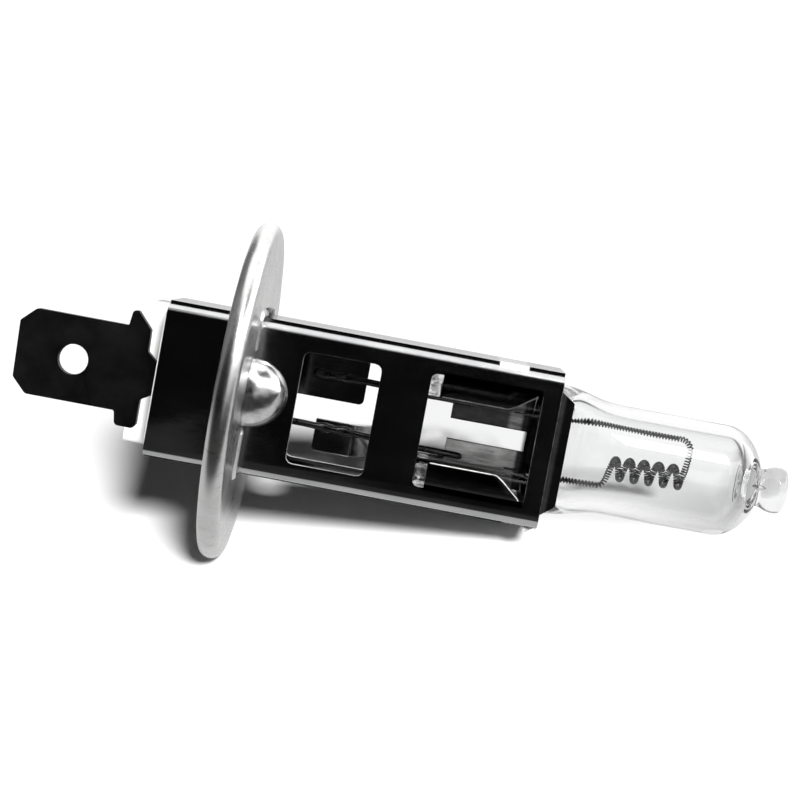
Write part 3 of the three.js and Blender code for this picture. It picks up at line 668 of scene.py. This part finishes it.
# ------------------------------------------------------------------ weld beads
def bead(side, name, node, seed):
    cx, cy, cz = 0.02, D + 0.05, 0.35
    rx, ry, rz = 2.86, 2.10, 2.55
    nu, nv = 64, 40
    V, F = [], []

    def point(th, ph):
        d = np.array([math.sin(th) * math.cos(ph), -math.sin(th) * math.sin(ph), math.cos(th)])
        k = 0.99 + 0.022 * fbm(tuple(d), 1.3, 2, seed) + 0.004 * fbm(tuple(d), 5.0, 2, seed + 4)
        # a flattened crown where the drop sagged before it set
        k *= 1 - 0.05 * max(0.0, -d[1] - 0.55)
        k = min(k, 1.0)
        return [cx + rx * d[0] * k, side * (cy - ry * d[1] * k), cz + rz * d[2] * k]

    for i in range(nu + 1):
        for j in range(nv + 1):
            V.append(point(math.pi * i / nu, math.pi / 2 * j / nv))
    idx = lambda i, j: i * (nv + 1) + j
    for i in range(nu):
        for j in range(nv):
            F.append((idx(i, j), idx(i + 1, j), idx(i + 1, j + 1), idx(i, j + 1)))
    # the two flat sides, against the sleeve and the flange
    for j in (0, nv):
        c = len(V)
        edge = [V[idx(i, j)] for i in range(nu + 1)]
        m = np.mean(edge, axis=0)
        V.append([cx if j == nv else m[0], side * cy if j == 0 else m[1], cz])
        for i in range(nu):
            F.append((idx(i, j), c, idx(i + 1, j)))
    me_v = np.array(V)
    me_v[:, 0] = np.maximum(me_v[:, 0], cx)
    ob = piece(name, me_v, F, MATS["bead_metal"], [node])
    bm = bmesh.new()
    bm.from_mesh(ob.data)
    bmesh.ops.remove_doubles(bm, verts=bm.verts, dist=2e-6)
    bmesh.ops.recalc_face_normals(bm, faces=bm.faces)
    for e in bm.edges:
        if len(e.link_faces) == 2 and e.calc_face_angle(0) > math.radians(50):
            e.smooth = False
    bm.to_mesh(ob.data)
    bm.free()
    return ob


bead(-1, "front_weld_bead_fine", "front_weld_bead", 2.0)
bead(1, "back_weld_bead_fine", "back_weld_bead", 9.0)


# ------------------------------------------------------------------ lead wires: drawn wire, pressed flat where it is welded
def lead_wire(name, node, x0, z0, x1, z1, welds, bend=0.0):
    n, sides, r = 150, 24, 0.25
    xs = np.linspace(x0, x1, n)
    V = []
    t = np.linspace(0, 2 * math.pi, sides, endpoint=False)
    for i, x in enumerate(xs):
        f = (x - x0) / (x1 - x0)
        z = z0 + (z1 - z0) * f + bend * math.sin(math.pi * f) + 0.012 * math.sin(x * 1.9)
        w = sum(math.exp(-((x - c) / 0.38) ** 2) for c in welds)
        end = min(1.0, (i + 0.4) / 3.0, (n - 1 - i + 0.4) / 3.0)
        k = math.sqrt(max(0.02, 1 - (1 - end) ** 2))
        ry, rz = r * (1 - 0.14 * w) * k, r * (1 + 0.42 * w) * k
        for a in t:
            y = ry * math.sin(a) + 0.03 * w
            V.append([x, min(y, 0.29), z + rz * math.cos(a)])
    piece(name, V, rings_to_faces(n, sides), MATS["wire_metal"], [node])


lead_wire("upper_lead_wire_fine", "upper_lead_wire", 4.1, 2.3, 15.8, 2.25, [4.85, 6.6])
lead_wire("lower_lead_wire_fine", "lower_lead_wire", 2.9, -1.5, 15.8, -1.78, [5.6, 7.0])


# ------------------------------------------------------------------ foils: thin, creased and feathered at their long edges
def foil(name, node, z0, z1, seed):
    x0, x1, y = 14.5, 20.36, 0.33
    nx, nz = 70, 24
    top, bot = [], []
    for i in range(nx + 1):
        for j in range(nz + 1):
            x, v = x0 + (x1 - x0) * i / nx, j / nz
            z = z0 + (z1 - z0) * v
            edge = min(v, 1 - v) * (z1 - z0)
            t = 0.012 + 0.03 * min(1.0, edge / 0.5)
            wave = 0.03 * fbm((x * 0.35, 0, z * 2.4), 1.0, 3, seed)
            top.append([x, y - t + wave, z])
            bot.append([x, y + t + wave, z])
    V = top + bot
    n = (nx + 1) * (nz + 1)
    idx = lambda i, j, s=0: s * n + i * (nz + 1) + j
    F = []
    for i in range(nx):
        for j in range(nz):
            F.append((idx(i, j), idx(i + 1, j), idx(i + 1, j + 1), idx(i, j + 1)))
            F.append((idx(i, j, 1), idx(i, j + 1, 1), idx(i + 1, j + 1, 1), idx(i + 1, j, 1)))
    for i in range(nx):
        F.append((idx(i, 0), idx(i, 0, 1), idx(i + 1, 0, 1), idx(i + 1, 0)))
        F.append((idx(i, nz), idx(i + 1, nz), idx(i + 1, nz, 1), idx(i, nz, 1)))
    for j in range(nz):
        F.append((idx(0, j), idx(0, j + 1), idx(0, j + 1, 1), idx(0, j, 1)))
        F.append((idx(nx, j), idx(nx, j, 1), idx(nx, j + 1, 1), idx(nx, j + 1)))
    piece(name, V, F, MATS["foil_metal"], [node])


foil("upper_foil_fine", "upper_foil", 0.85, 3.7, 1.0)
foil("lower_foil_fine", "lower_foil", -3.45, -0.6, 6.0)


# ------------------------------------------------------------------ inner rods
def inner_rod(name, node, z, x1):
    P = [(x, LEG_Y, z) for x in np.linspace(19.05, x1 - 0.05, 24)]
    V, F = tube(P, 0.1, 16)
    piece(name, V, F, MATS["wire_metal"], [node])


inner_rod("upper_inner_lead_fine", "upper_inner_lead", UP_LEG, 31.0)
inner_rod("lower_inner_lead_fine", "lower_inner_lead", LO_LEG, 25.7)


# ------------------------------------------------------------------ filament: a coil of finely coiled wire
def filament():
    x0, pitch, r, zc, rise, turns = 26.84, 1.06, 0.675, -0.5, 0.055, 4.5

    def at(t):
        x = x0 + pitch * t
        a = 2 * math.pi * t
        return [x, -r * math.sin(a), zc + rise * (x - 29) + r * math.cos(a)]

    pts = [[22.4, LEG_Y, LO_LEG], [23.6, LEG_Y, LO_LEG + 0.01], [24.8, LEG_Y, LO_LEG], [25.5, LEG_Y, LO_LEG], [25.95, LEG_Y, LO_LEG + 0.02],
           [26.25, 0.2, LO_LEG + 0.28], [26.42, 0.42, -1.25]]
    lo = len(pts)
    pts += [at(t) for t in np.arange(-0.25, turns + 0.2501, 1 / 12)]
    last = pts[-1]
    hi = len(pts)
    pts += [[last[0] + 0.12, 0.45, last[2] + 0.75], [last[0] + 0.18, 0.2, UP_LEG - 0.75], [last[0] - 0.02, LEG_Y, UP_LEG - 0.26],
            [last[0] - 0.42, LEG_Y, UP_LEG], [last[0] - 1.0, LEG_Y, UP_LEG + 0.01], [29.5, LEG_Y, UP_LEG], [27.6, LEG_Y, UP_LEG + 0.01], [25.8, LEG_Y, UP_LEG],
            [24.0, LEG_Y, UP_LEG], [22.4, LEG_Y, UP_LEG]]
    per = 12
    P = catmull(pts, per)
    # radius of the fine winding: slim on the legs, fuller on the coil
    u = np.arange(len(P)) / per
    full = np.clip((u - (lo - 2.2)) / 2.2, 0, 1) * np.clip(((hi + 1.2) - u) / 2.2, 0, 1)
    full = full * full * (3 - 2 * full)
    rad = 0.182 + (0.222 - 0.182) * full
    seg = np.linalg.norm(np.diff(P, axis=0), axis=1)
    s = np.concatenate([[0], np.cumsum(seg)])
    fine, steps = 0.225, 18
    count = int(s[-1] / fine * steps)
    S = np.linspace(0, s[-1], count)
    C = np.stack([np.interp(S, s, P[:, k]) for k in range(3)], axis=1)
    Rf = np.interp(S, s, rad)
    _, N, B = frames_along(C)
    tight = np.interp(S, s, full)
    step = np.concatenate([[0], np.diff(S)]) / (fine - 0.025 * tight)
    a = 2 * math.pi * np.cumsum(step)
    W = C + Rf[:, None] * (np.cos(a)[:, None] * N + np.sin(a)[:, None] * B)
    V, F = tube(W, 0.056, 8)
    piece("filament_coil", V, F, MATS["tungsten"], ["filament"])


filament()


# ------------------------------------------------------------------ glass
def glass():
    n = 120
    w, t, m = 4.7, 1.75, 1.2
    half = rounded([(t, -w, 0.75), (t, w, 0.75), (-t, w, 0.75), (-t, -w, 0.75)], 8)
    base = resample(half, n, (0, w))           # (y, z), from the top, anticlockwise in (y, z)
    ang = np.array([math.pi / 2 + 2 * math.pi * i / n for i in range(n)])

    def pinch(x):
        out = base.copy()
        for i in range(n):
            y, z = out[i]
            a = abs(z)
            k = min(1.0, max(0.0, (a - 2.05) / 0.75))
            k = k * k * (3 - 2 * k)
            half_t = m + (t - m) * k
            if abs(y) > 0.3:
                out[i, 0] = y / t * half_t
        return out

    rings = []

    def ring(x, mixw, a, b, wob=1.0, cz=0.0):
        p = pinch(x)
        e = np.stack([b * np.cos(ang), a * np.sin(ang)], axis=1)
        q = p * (1 - mixw) + e * mixw
        q[:, 1] += cz
        for i in range(n):
            k = fbm((x * 0.55, q[i, 0] * 0.5, q[i, 1] * 0.5), 1.0, 3, 5.0)
            d = q[i] / (np.linalg.norm(q[i]) + 1e-9)
            q[i] += d * 0.03 * wob * k
            if x < 15.5:
                rag = (15.5 - x) / 4.5 * min(1.0, max(0.0, (abs(q[i, 1]) - 1.9) / 0.8))
                q[i, 0] += 0.10 * rag * fbm((x * 1.4, q[i, 0] * 0.4, q[i, 1] * 1.3), 1.0, 3, 21.0)
        rings.append(np.column_stack([np.full(n, x), q]))

    # rear end of the pinch, pressed and broken a little unevenly
    ring(10.92, 0, 0, 0, 0.0)
    rings[-1][:, 1:] *= 0.80
    ring(10.98, 0, 0, 0, 1.5)
    rings[-1][:, 1:] *= 0.93
    for x in (11.15, 11.4):
        ring(x, 0, 0, 0, 2.2)
    for x in list(np.arange(11.6, 15.4, 0.14)) + list(np.arange(15.5, 20.01, 0.4)):
        ring(x, 0, 0, 0, 1.3)
    for x, mw, a, b in ((20.4, 0.03, 4.7, 2.4), (20.8, 0.10, 4.7, 2.6), (21.2, 0.22, 4.71, 2.8), (21.6, 0.35, 4.72, 2.98), (22.0, 0.47, 4.73, 3.15),
                        (22.4, 0.59, 4.73, 3.3), (22.8, 0.70, 4.70, 3.45), (23.2, 0.79, 4.63, 3.58), (23.6, 0.86, 4.54, 3.68), (24.0, 0.92, 4.44, 3.78),
                        (24.4, 0.96, 4.34, 3.86), (24.9, 0.99, 4.22, 3.94), (25.4, 1.0, 4.12, 4.0), (26.0, 1.0, 4.055, 4.03), (26.8, 1.0, 4.03, 4.03)):
        ring(x, mw, a, b, 0.8)
    for x in np.arange(27.6, 34.2, 0.8):
        ring(x, 1.0, 4.03, 4.03, 0.35)
    R = 4.03
    for k in range(0, 15):
        a = math.pi / 2 * k / 17
        r, x = R * math.cos(a), 34.4 + (37.2 - 34.4 + 0.25) * math.sin(a)
        if r < 1.62:
            break
        ring(x, 1.0, r, r, 0.4)
    for x, r in ((36.98, 1.60), (37.1, 1.50), (37.25, 1.41), (37.45, 1.37), (37.65, 1.40), (37.85, 1.48), (38.05, 1.57), (38.3, 1.64), (38.55, 1.67),
                 (38.8, 1.66), (39.0, 1.62), (39.14, 1.54), (39.25, 1.38), (39.33, 1.12), (39.375, 0.7), (39.395, 0.25)):
        ring(x, 1.0, r, r, 0.9 if r > 1 else 0.2)
    V = [v for r_ in rings for v in r_]
    F = rings_to_faces(len(rings), n)
    outer = len(V)

    # the chamber
    inner = []
    nn = 96

    def iring(x, a, b):
        tt = np.linspace(0, 2 * math.pi, nn, endpoint=False)
        q = np.stack([b * np.cos(tt), a * np.sin(tt)], axis=1)
        for i in range(nn):
            k = fbm((x * 0.4, q[i, 0] * 0.4, q[i, 1] * 0.4), 1.0, 2, 12.0)
            q[i] *= 1 + 0.008 * k
        inner.append(np.column_stack([np.full(nn, x), q]))

    for x, a, b in ((21.75, 0.5, 0.1), (21.8, 1.8, 0.28), (21.95, 2.7, 0.5), (22.2, 3.15, 0.85), (22.6, 3.42, 1.25), (23.0, 3.56, 1.65), (23.4, 3.62, 2.0), (23.8, 3.58, 2.32),
                    (24.3, 3.46, 2.64), (24.8, 3.34, 2.88), (25.4, 3.24, 3.05), (26.1, 3.18, 3.13), (27.0, 3.15, 3.15)):
        iring(x, a, b)
    for x in np.arange(28.0, 34.2, 1.0):
        iring(x, 3.14, 3.14)
    for k in range(0, 14):
        a = math.pi / 2 * k / 15
        iring(34.45 + 1.90 * math.sin(a), 3.14 * math.cos(a), 3.14 * math.cos(a))
    for x, r in ((36.37, 0.33), (36.45, 0.26), (36.7, 0.2), (37.2, 0.15), (37.7, 0.11), (38.0, 0.05)):
        iring(x, r, r)
    V += [v for r_ in inner for v in r_]
    F += [tuple(outer + i for i in reversed(f)) for f in rings_to_faces(len(inner), nn)]
    me = bpy.data.meshes.new("quartz_glass")
    me.from_pydata([tuple(float(c) * MM for c in v) for v in V], [], F)
    me.validate()
    ob = bpy.data.objects.new("quartz_glass", me)
    scene.collection.objects.link(ob)
    me.materials.append(MATS["quartz"])
    # outside faces out, chamber faces into the chamber
    bm = bmesh.new()
    bm.from_mesh(me)
    bm.verts.ensure_lookup_table()
    out_faces = [f for f in bm.faces if f.verts[0].index < outer]
    in_faces = [f for f in bm.faces if f.verts[0].index >= outer]
    bmesh.ops.recalc_face_normals(bm, faces=out_faces)
    bmesh.ops.recalc_face_normals(bm, faces=in_faces)
    bmesh.ops.reverse_faces(bm, faces=in_faces)
    for f in bm.faces:
        f.smooth = True
    bm.to_mesh(me)
    bm.free()
    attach(ob, "root")
    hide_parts("glass_envelope")
    return ob


glass()


# ------------------------------------------------------------------ floor: the bulb lies on it on its flange's rim and its glass dome
LEAN = math.radians(12)                       # turned back about its own axis, so that the floor is seen from above
TILT = math.atan(0.2418)                      # the line from the rim to the dome
m_up = Vector((0.0, -math.sin(LEAN), math.cos(LEAN)))
floor_n = (m_up * math.cos(TILT) - Vector((1, 0, 0)) * math.sin(TILT)).normalized()
floor_x = Vector((1, 0, 0)) * math.cos(TILT) + m_up * math.sin(TILT)
floor_y = floor_n.cross(floor_x)
floor_at = m_up * -12.46 + Vector((-0.8, 0, 0))
floor_mat = bpy.data.materials.new("pale_floor")
floor_mat.use_nodes = True
nt = floor_mat.node_tree
nt.nodes.clear()
out = nt.nodes.new("ShaderNodeOutputMaterial")
diff = nt.nodes.new("ShaderNodeBsdfDiffuse")
diff.inputs[0].default_value = (0.93, 0.93, 0.93, 1)
clear = nt.nodes.new("ShaderNodeBsdfTransparent")
geo = nt.nodes.new("ShaderNodeNewGeometry")
mixs = nt.nodes.new("ShaderNodeMixShader")
flp = nt.nodes.new("ShaderNodeLightPath")
fsep = nt.nodes.new("ShaderNodeSeparateXYZ")
nt.links.new(geo.outputs["Position"], fsep.inputs[0])
fmap = nt.nodes.new("ShaderNodeMapRange")              # painted shade: in reflections the floor is dark in front of the bulb and pale behind it
fmap.inputs["From Min"].default_value, fmap.inputs["From Max"].default_value = -0.019, -0.013
fmap.inputs["To Min"].default_value, fmap.inputs["To Max"].default_value = 0.04, 0.66
nt.links.new(fsep.outputs[1], fmap.inputs["Value"])
fcol = nt.nodes.new("ShaderNodeCombineColor")
for k_ in range(3):
    nt.links.new(fmap.outputs[0], fcol.inputs[k_])
fmix = nt.nodes.new("ShaderNodeMix")
fmix.data_type = "RGBA"
fmix.inputs[6].default_value = (0.93, 0.93, 0.93, 1)
nt.links.new(fcol.outputs[0], fmix.inputs[7])
nt.links.new(flp.outputs["Is Glossy Ray"], fmix.inputs[0])
fmix2 = nt.nodes.new("ShaderNodeMix")                 # seen through the glass: painted shade, the floor dark in front of the bulb
fmix2.data_type = "RGBA"
fmap2 = nt.nodes.new("ShaderNodeMapRange")
fmap2.inputs["From Min"].default_value, fmap2.inputs["From Max"].default_value = -0.030, -0.016
fmap2.inputs["To Min"].default_value, fmap2.inputs["To Max"].default_value = 0.04, 0.79
nt.links.new(fsep.outputs[1], fmap2.inputs["Value"])
# painted shade: seen through the glass, the floor is dark to the right, where the dome and the tip bend rays far to the
# side
fside = nt.nodes.new("ShaderNodeMath")
fside.operation = "MULTIPLY_ADD"
fside.inputs[1].default_value = -0.7
nt.links.new(fsep.outputs[1], fside.inputs[0])
nt.links.new(fsep.outputs[0], fside.inputs[2])
fmap3 = nt.nodes.new("ShaderNodeMapRange")
fmap3.inputs["From Min"].default_value, fmap3.inputs["From Max"].default_value = 0.027, 0.052
fmap3.inputs["To Min"].default_value, fmap3.inputs["To Max"].default_value = 1.0, 0.03
nt.links.new(fside.outputs[0], fmap3.inputs["Value"])
fmul = nt.nodes.new("ShaderNodeMath")
fmul.operation = "MULTIPLY"
nt.links.new(fmap2.outputs[0], fmul.inputs[0])
nt.links.new(fmap3.outputs[0], fmul.inputs[1])
nt.links.new(fmul.outputs[0], fmix2.inputs[7])
nt.links.new(flp.outputs["Is Transmission Ray"], fmix2.inputs[0])
nt.links.new(fmix.outputs[2], fmix2.inputs[6])
nt.links.new(fmix2.outputs[2], diff.inputs[0])
nt.links.new(geo.outputs["Backfacing"], mixs.inputs[0])
nt.links.new(diff.outputs[0], mixs.inputs[1])
nt.links.new(clear.outputs[0], mixs.inputs[2])
nt.links.new(mixs.outputs[0], out.inputs[0])
me = bpy.data.meshes.new("floor")
S = 4000.0
me.from_pydata([tuple((floor_at + floor_x * x * S + floor_y * y * S) * MM) for x, y in ((-1, -1), (1, -1), (1, 1), (-1, 1))], [], [(0, 1, 2, 3)])
floor = bpy.data.objects.new("floor", me)
scene.collection.objects.link(floor)
me.materials.append(floor_mat)

# ------------------------------------------------------------------ world: an even white light for the floor, a dim room in reflections
world = bpy.data.worlds.new("studio")
scene.world = world
world.cycles.sampling_method = "NONE"
world.use_nodes = True
wt = world.node_tree
wt.nodes.clear()


def wnode(kind, **kw):
    n_ = wt.nodes.new(kind)
    for k_, v_ in kw.items():
        if hasattr(n_, k_):
            setattr(n_, k_, v_)
        else:
            n_.inputs[k_].default_value = v_
    return n_


def wmath(op, a, b=None):
    n_ = wnode("ShaderNodeMath", operation=op)
    for i_, v_ in enumerate((a, b)):
        if isinstance(v_, (int, float)):
            n_.inputs[i_].default_value = v_
        elif v_ is not None:
            wt.links.new(v_, n_.inputs[i_])
    return n_.outputs[0]


wo = wnode("ShaderNodeOutputWorld")
co = wnode("ShaderNodeTexCoord")
sep = wnode("ShaderNodeSeparateXYZ")
wt.links.new(co.outputs["Generated"], sep.inputs[0])
# angle round the bulb's axis, from the camera's side (0) over the top (90) to behind (180), in degrees / 360 + 0.5
turn = wmath("ADD", wmath("MULTIPLY", wmath("ARCTAN2", sep.outputs[2], wmath("MULTIPLY", sep.outputs[1], -1.0)), 1 / (2 * math.pi)), 0.5)
ramp = wnode("ShaderNodeValToRGB")
cr = ramp.color_ramp
stops = [(-180, 1.0), (-120, 1.0), (-60, 0.8), (-40, 0.3), (-32, 0.006), (19, 0.006), (30, 0.12), (42, 1.2), (60, 2.0), (90, 2.1), (125, 1.9), (150, 1.5), (180, 1.4)]
while len(cr.elements) < len(stops):
    cr.elements.new(0.5)
for e_, (deg, v_) in zip(cr.elements, stops):
    e_.position = deg / 360 + 0.5
    e_.color = (v_, v_, v_, 1)
wt.links.new(turn, ramp.inputs[0])


def band(value, lo_, hi_, soft):
    """1 between lo_ and hi_ degrees, fading over soft degrees outside."""
    a_ = wnode("ShaderNodeMapRange")
    b_ = wnode("ShaderNodeMapRange")
    for n_, f0, f1 in ((a_, lo_ - soft, lo_), (b_, hi_ + soft, hi_)):
        wt.links.new(value, n_.inputs["Value"])
        n_.inputs["From Min"].default_value = math.radians(f0)
        n_.inputs["From Max"].default_value = math.radians(f1)
    return wmath("MULTIPLY", a_.outputs[0], b_.outputs[0])


# a soft window on the right, in front and a little above, and a weaker low one
azim = wmath("ARCTAN2", sep.outputs[0], wmath("MULTIPLY", sep.outputs[1], -1.0))
elev = wmath("ARCSINE", sep.outputs[2])
win1 = wmath("MULTIPLY", wmath("MULTIPLY", band(azim, 8.6, 18, 0.5), band(elev, 40, 56, 2.0)), 16.0)
win1 = wmath("ADD", win1, wmath("MULTIPLY", wmath("MULTIPLY", band(azim, 18, 130, 2.0), band(elev, 22, 42, 6)), 2.5))
win1 = wmath("ADD", win1, wmath("MULTIPLY", wmath("MULTIPLY", band(azim, 14, 100, 3.0), band(elev, -24, 20, 8)), 0.7))
bar = wmath("MULTIPLY", band(azim, 22, 75, 3.0), band(elev, 46, 64, 4))
side = wmath("MULTIPLY", band(azim, -150, -14, 6), band(elev, -60, 55, 8))
room = wmath("MULTIPLY", ramp.outputs[0], wmath("SUBTRACT", 1.0, wmath("MULTIPLY", side, 0.85)))
lit = wmath("MULTIPLY", wmath("ADD", room, win1), wmath("SUBTRACT", 1.0, wmath("MULTIPLY", bar, 0.93)))
bg_room = wnode("ShaderNodeBackground")
wt.links.new(lit, bg_room.inputs["Strength"])
bg_room.inputs["Color"].default_value = (1, 1, 1, 1)
bg_white = wnode("ShaderNodeBackground", Color=(1, 1, 1, 1), Strength=1.0)
bg_fill = wnode("ShaderNodeBackground", Color=(1, 1, 1, 1), Strength=0.03)
back = wnode("ShaderNodeMapRange")
back.interpolation_type = "SMOOTHSTEP"
back.inputs["From Min"].default_value = math.cos(math.radians(58))
back.inputs["From Max"].default_value = math.cos(math.radians(46))
back.inputs["To Min"].default_value = 0.10
back.inputs["To Max"].default_value = 0.93
wt.links.new(wmath("ABSOLUTE", sep.outputs[1]), back.inputs["Value"])
bg_glass = wnode("ShaderNodeBackground", Color=(1, 1, 1, 1))
wt.links.new(back.outputs[0], bg_glass.inputs["Strength"])
lp = wnode("ShaderNodeLightPath")


def wmix(fac, a, b):
    n_ = wnode("ShaderNodeMixShader")
    wt.links.new(fac, n_.inputs[0])
    wt.links.new(a.outputs[0], n_.inputs[1])
    wt.links.new(b.outputs[0], n_.inputs[2])
    return n_


mx = wmix(lp.outputs["Is Transmission Ray"], bg_room, bg_glass)
mx = wmix(lp.outputs["Is Camera Ray"], mx, bg_white)
mx = wmix(wmath("MINIMUM", 1.0, lp.outputs["Diffuse Depth"]), mx, bg_fill)
wt.links.new(mx.outputs[0], wo.inputs[0])


# ------------------------------------------------------------------ lights
def area(name, at, to, size, power, size_y=None):
    L = bpy.data.lights.new(name, "AREA")
    L.energy = power
    L.size = size * MM
    if size_y:
        L.shape = "RECTANGLE"
        L.size_y = size_y * MM
    ob = bpy.data.objects.new(name, L)
    scene.collection.objects.link(ob)
    a, b = Vector(at) * MM, Vector(to) * MM
    ob.location = a
    ob.rotation_euler = (b - a).to_track_quat("-Z", "Y").to_euler()
    return ob


sun = bpy.data.lights.new("key_soft", "SUN")
sun.energy = 7.7
sun.angle = math.radians(10.0)
key = bpy.data.objects.new("key_soft", sun)
scene.collection.objects.link(key)
key.rotation_euler = Vector((-0.19, math.cos(math.radians(21)), -math.sin(math.radians(21)))).to_track_quat("-Z", "Y").to_euler()
key.visible_glossy = False
key.visible_transmission = False

# ------------------------------------------------------------------ camera
CX, CY, CZ = 12.288, -142.495, 12.289
AZ, EL, ROLL, FPX = math.radians(-0.656), math.radians(4.355), math.radians(10.566), 1964.8
w = Vector((math.sin(AZ) * math.cos(EL), math.cos(AZ) * math.cos(EL), -math.sin(EL)))
r0 = w.cross(Vector((0, 0, 1))).normalized()
u0 = r0.cross(w)
r = math.cos(ROLL) * r0 + math.sin(ROLL) * u0
u = -math.sin(ROLL) * r0 + math.cos(ROLL) * u0
cam = bpy.data.cameras.new("camera")
cam.sensor_width = 36
cam.sensor_fit = "HORIZONTAL"
cam.lens = FPX / 800 * 36
cam.clip_start = 0.005
cam.clip_end = 10
co_ = bpy.data.objects.new("camera", cam)
scene.collection.objects.link(co_)
M = Matrix((r, u, -w)).transposed().to_4x4()
M.translation = Vector((CX, CY, CZ)) * MM
co_.matrix_world = M
scene.camera = co_

scene.view_settings.view_transform = "Standard"
scene.view_settings.look = "None"
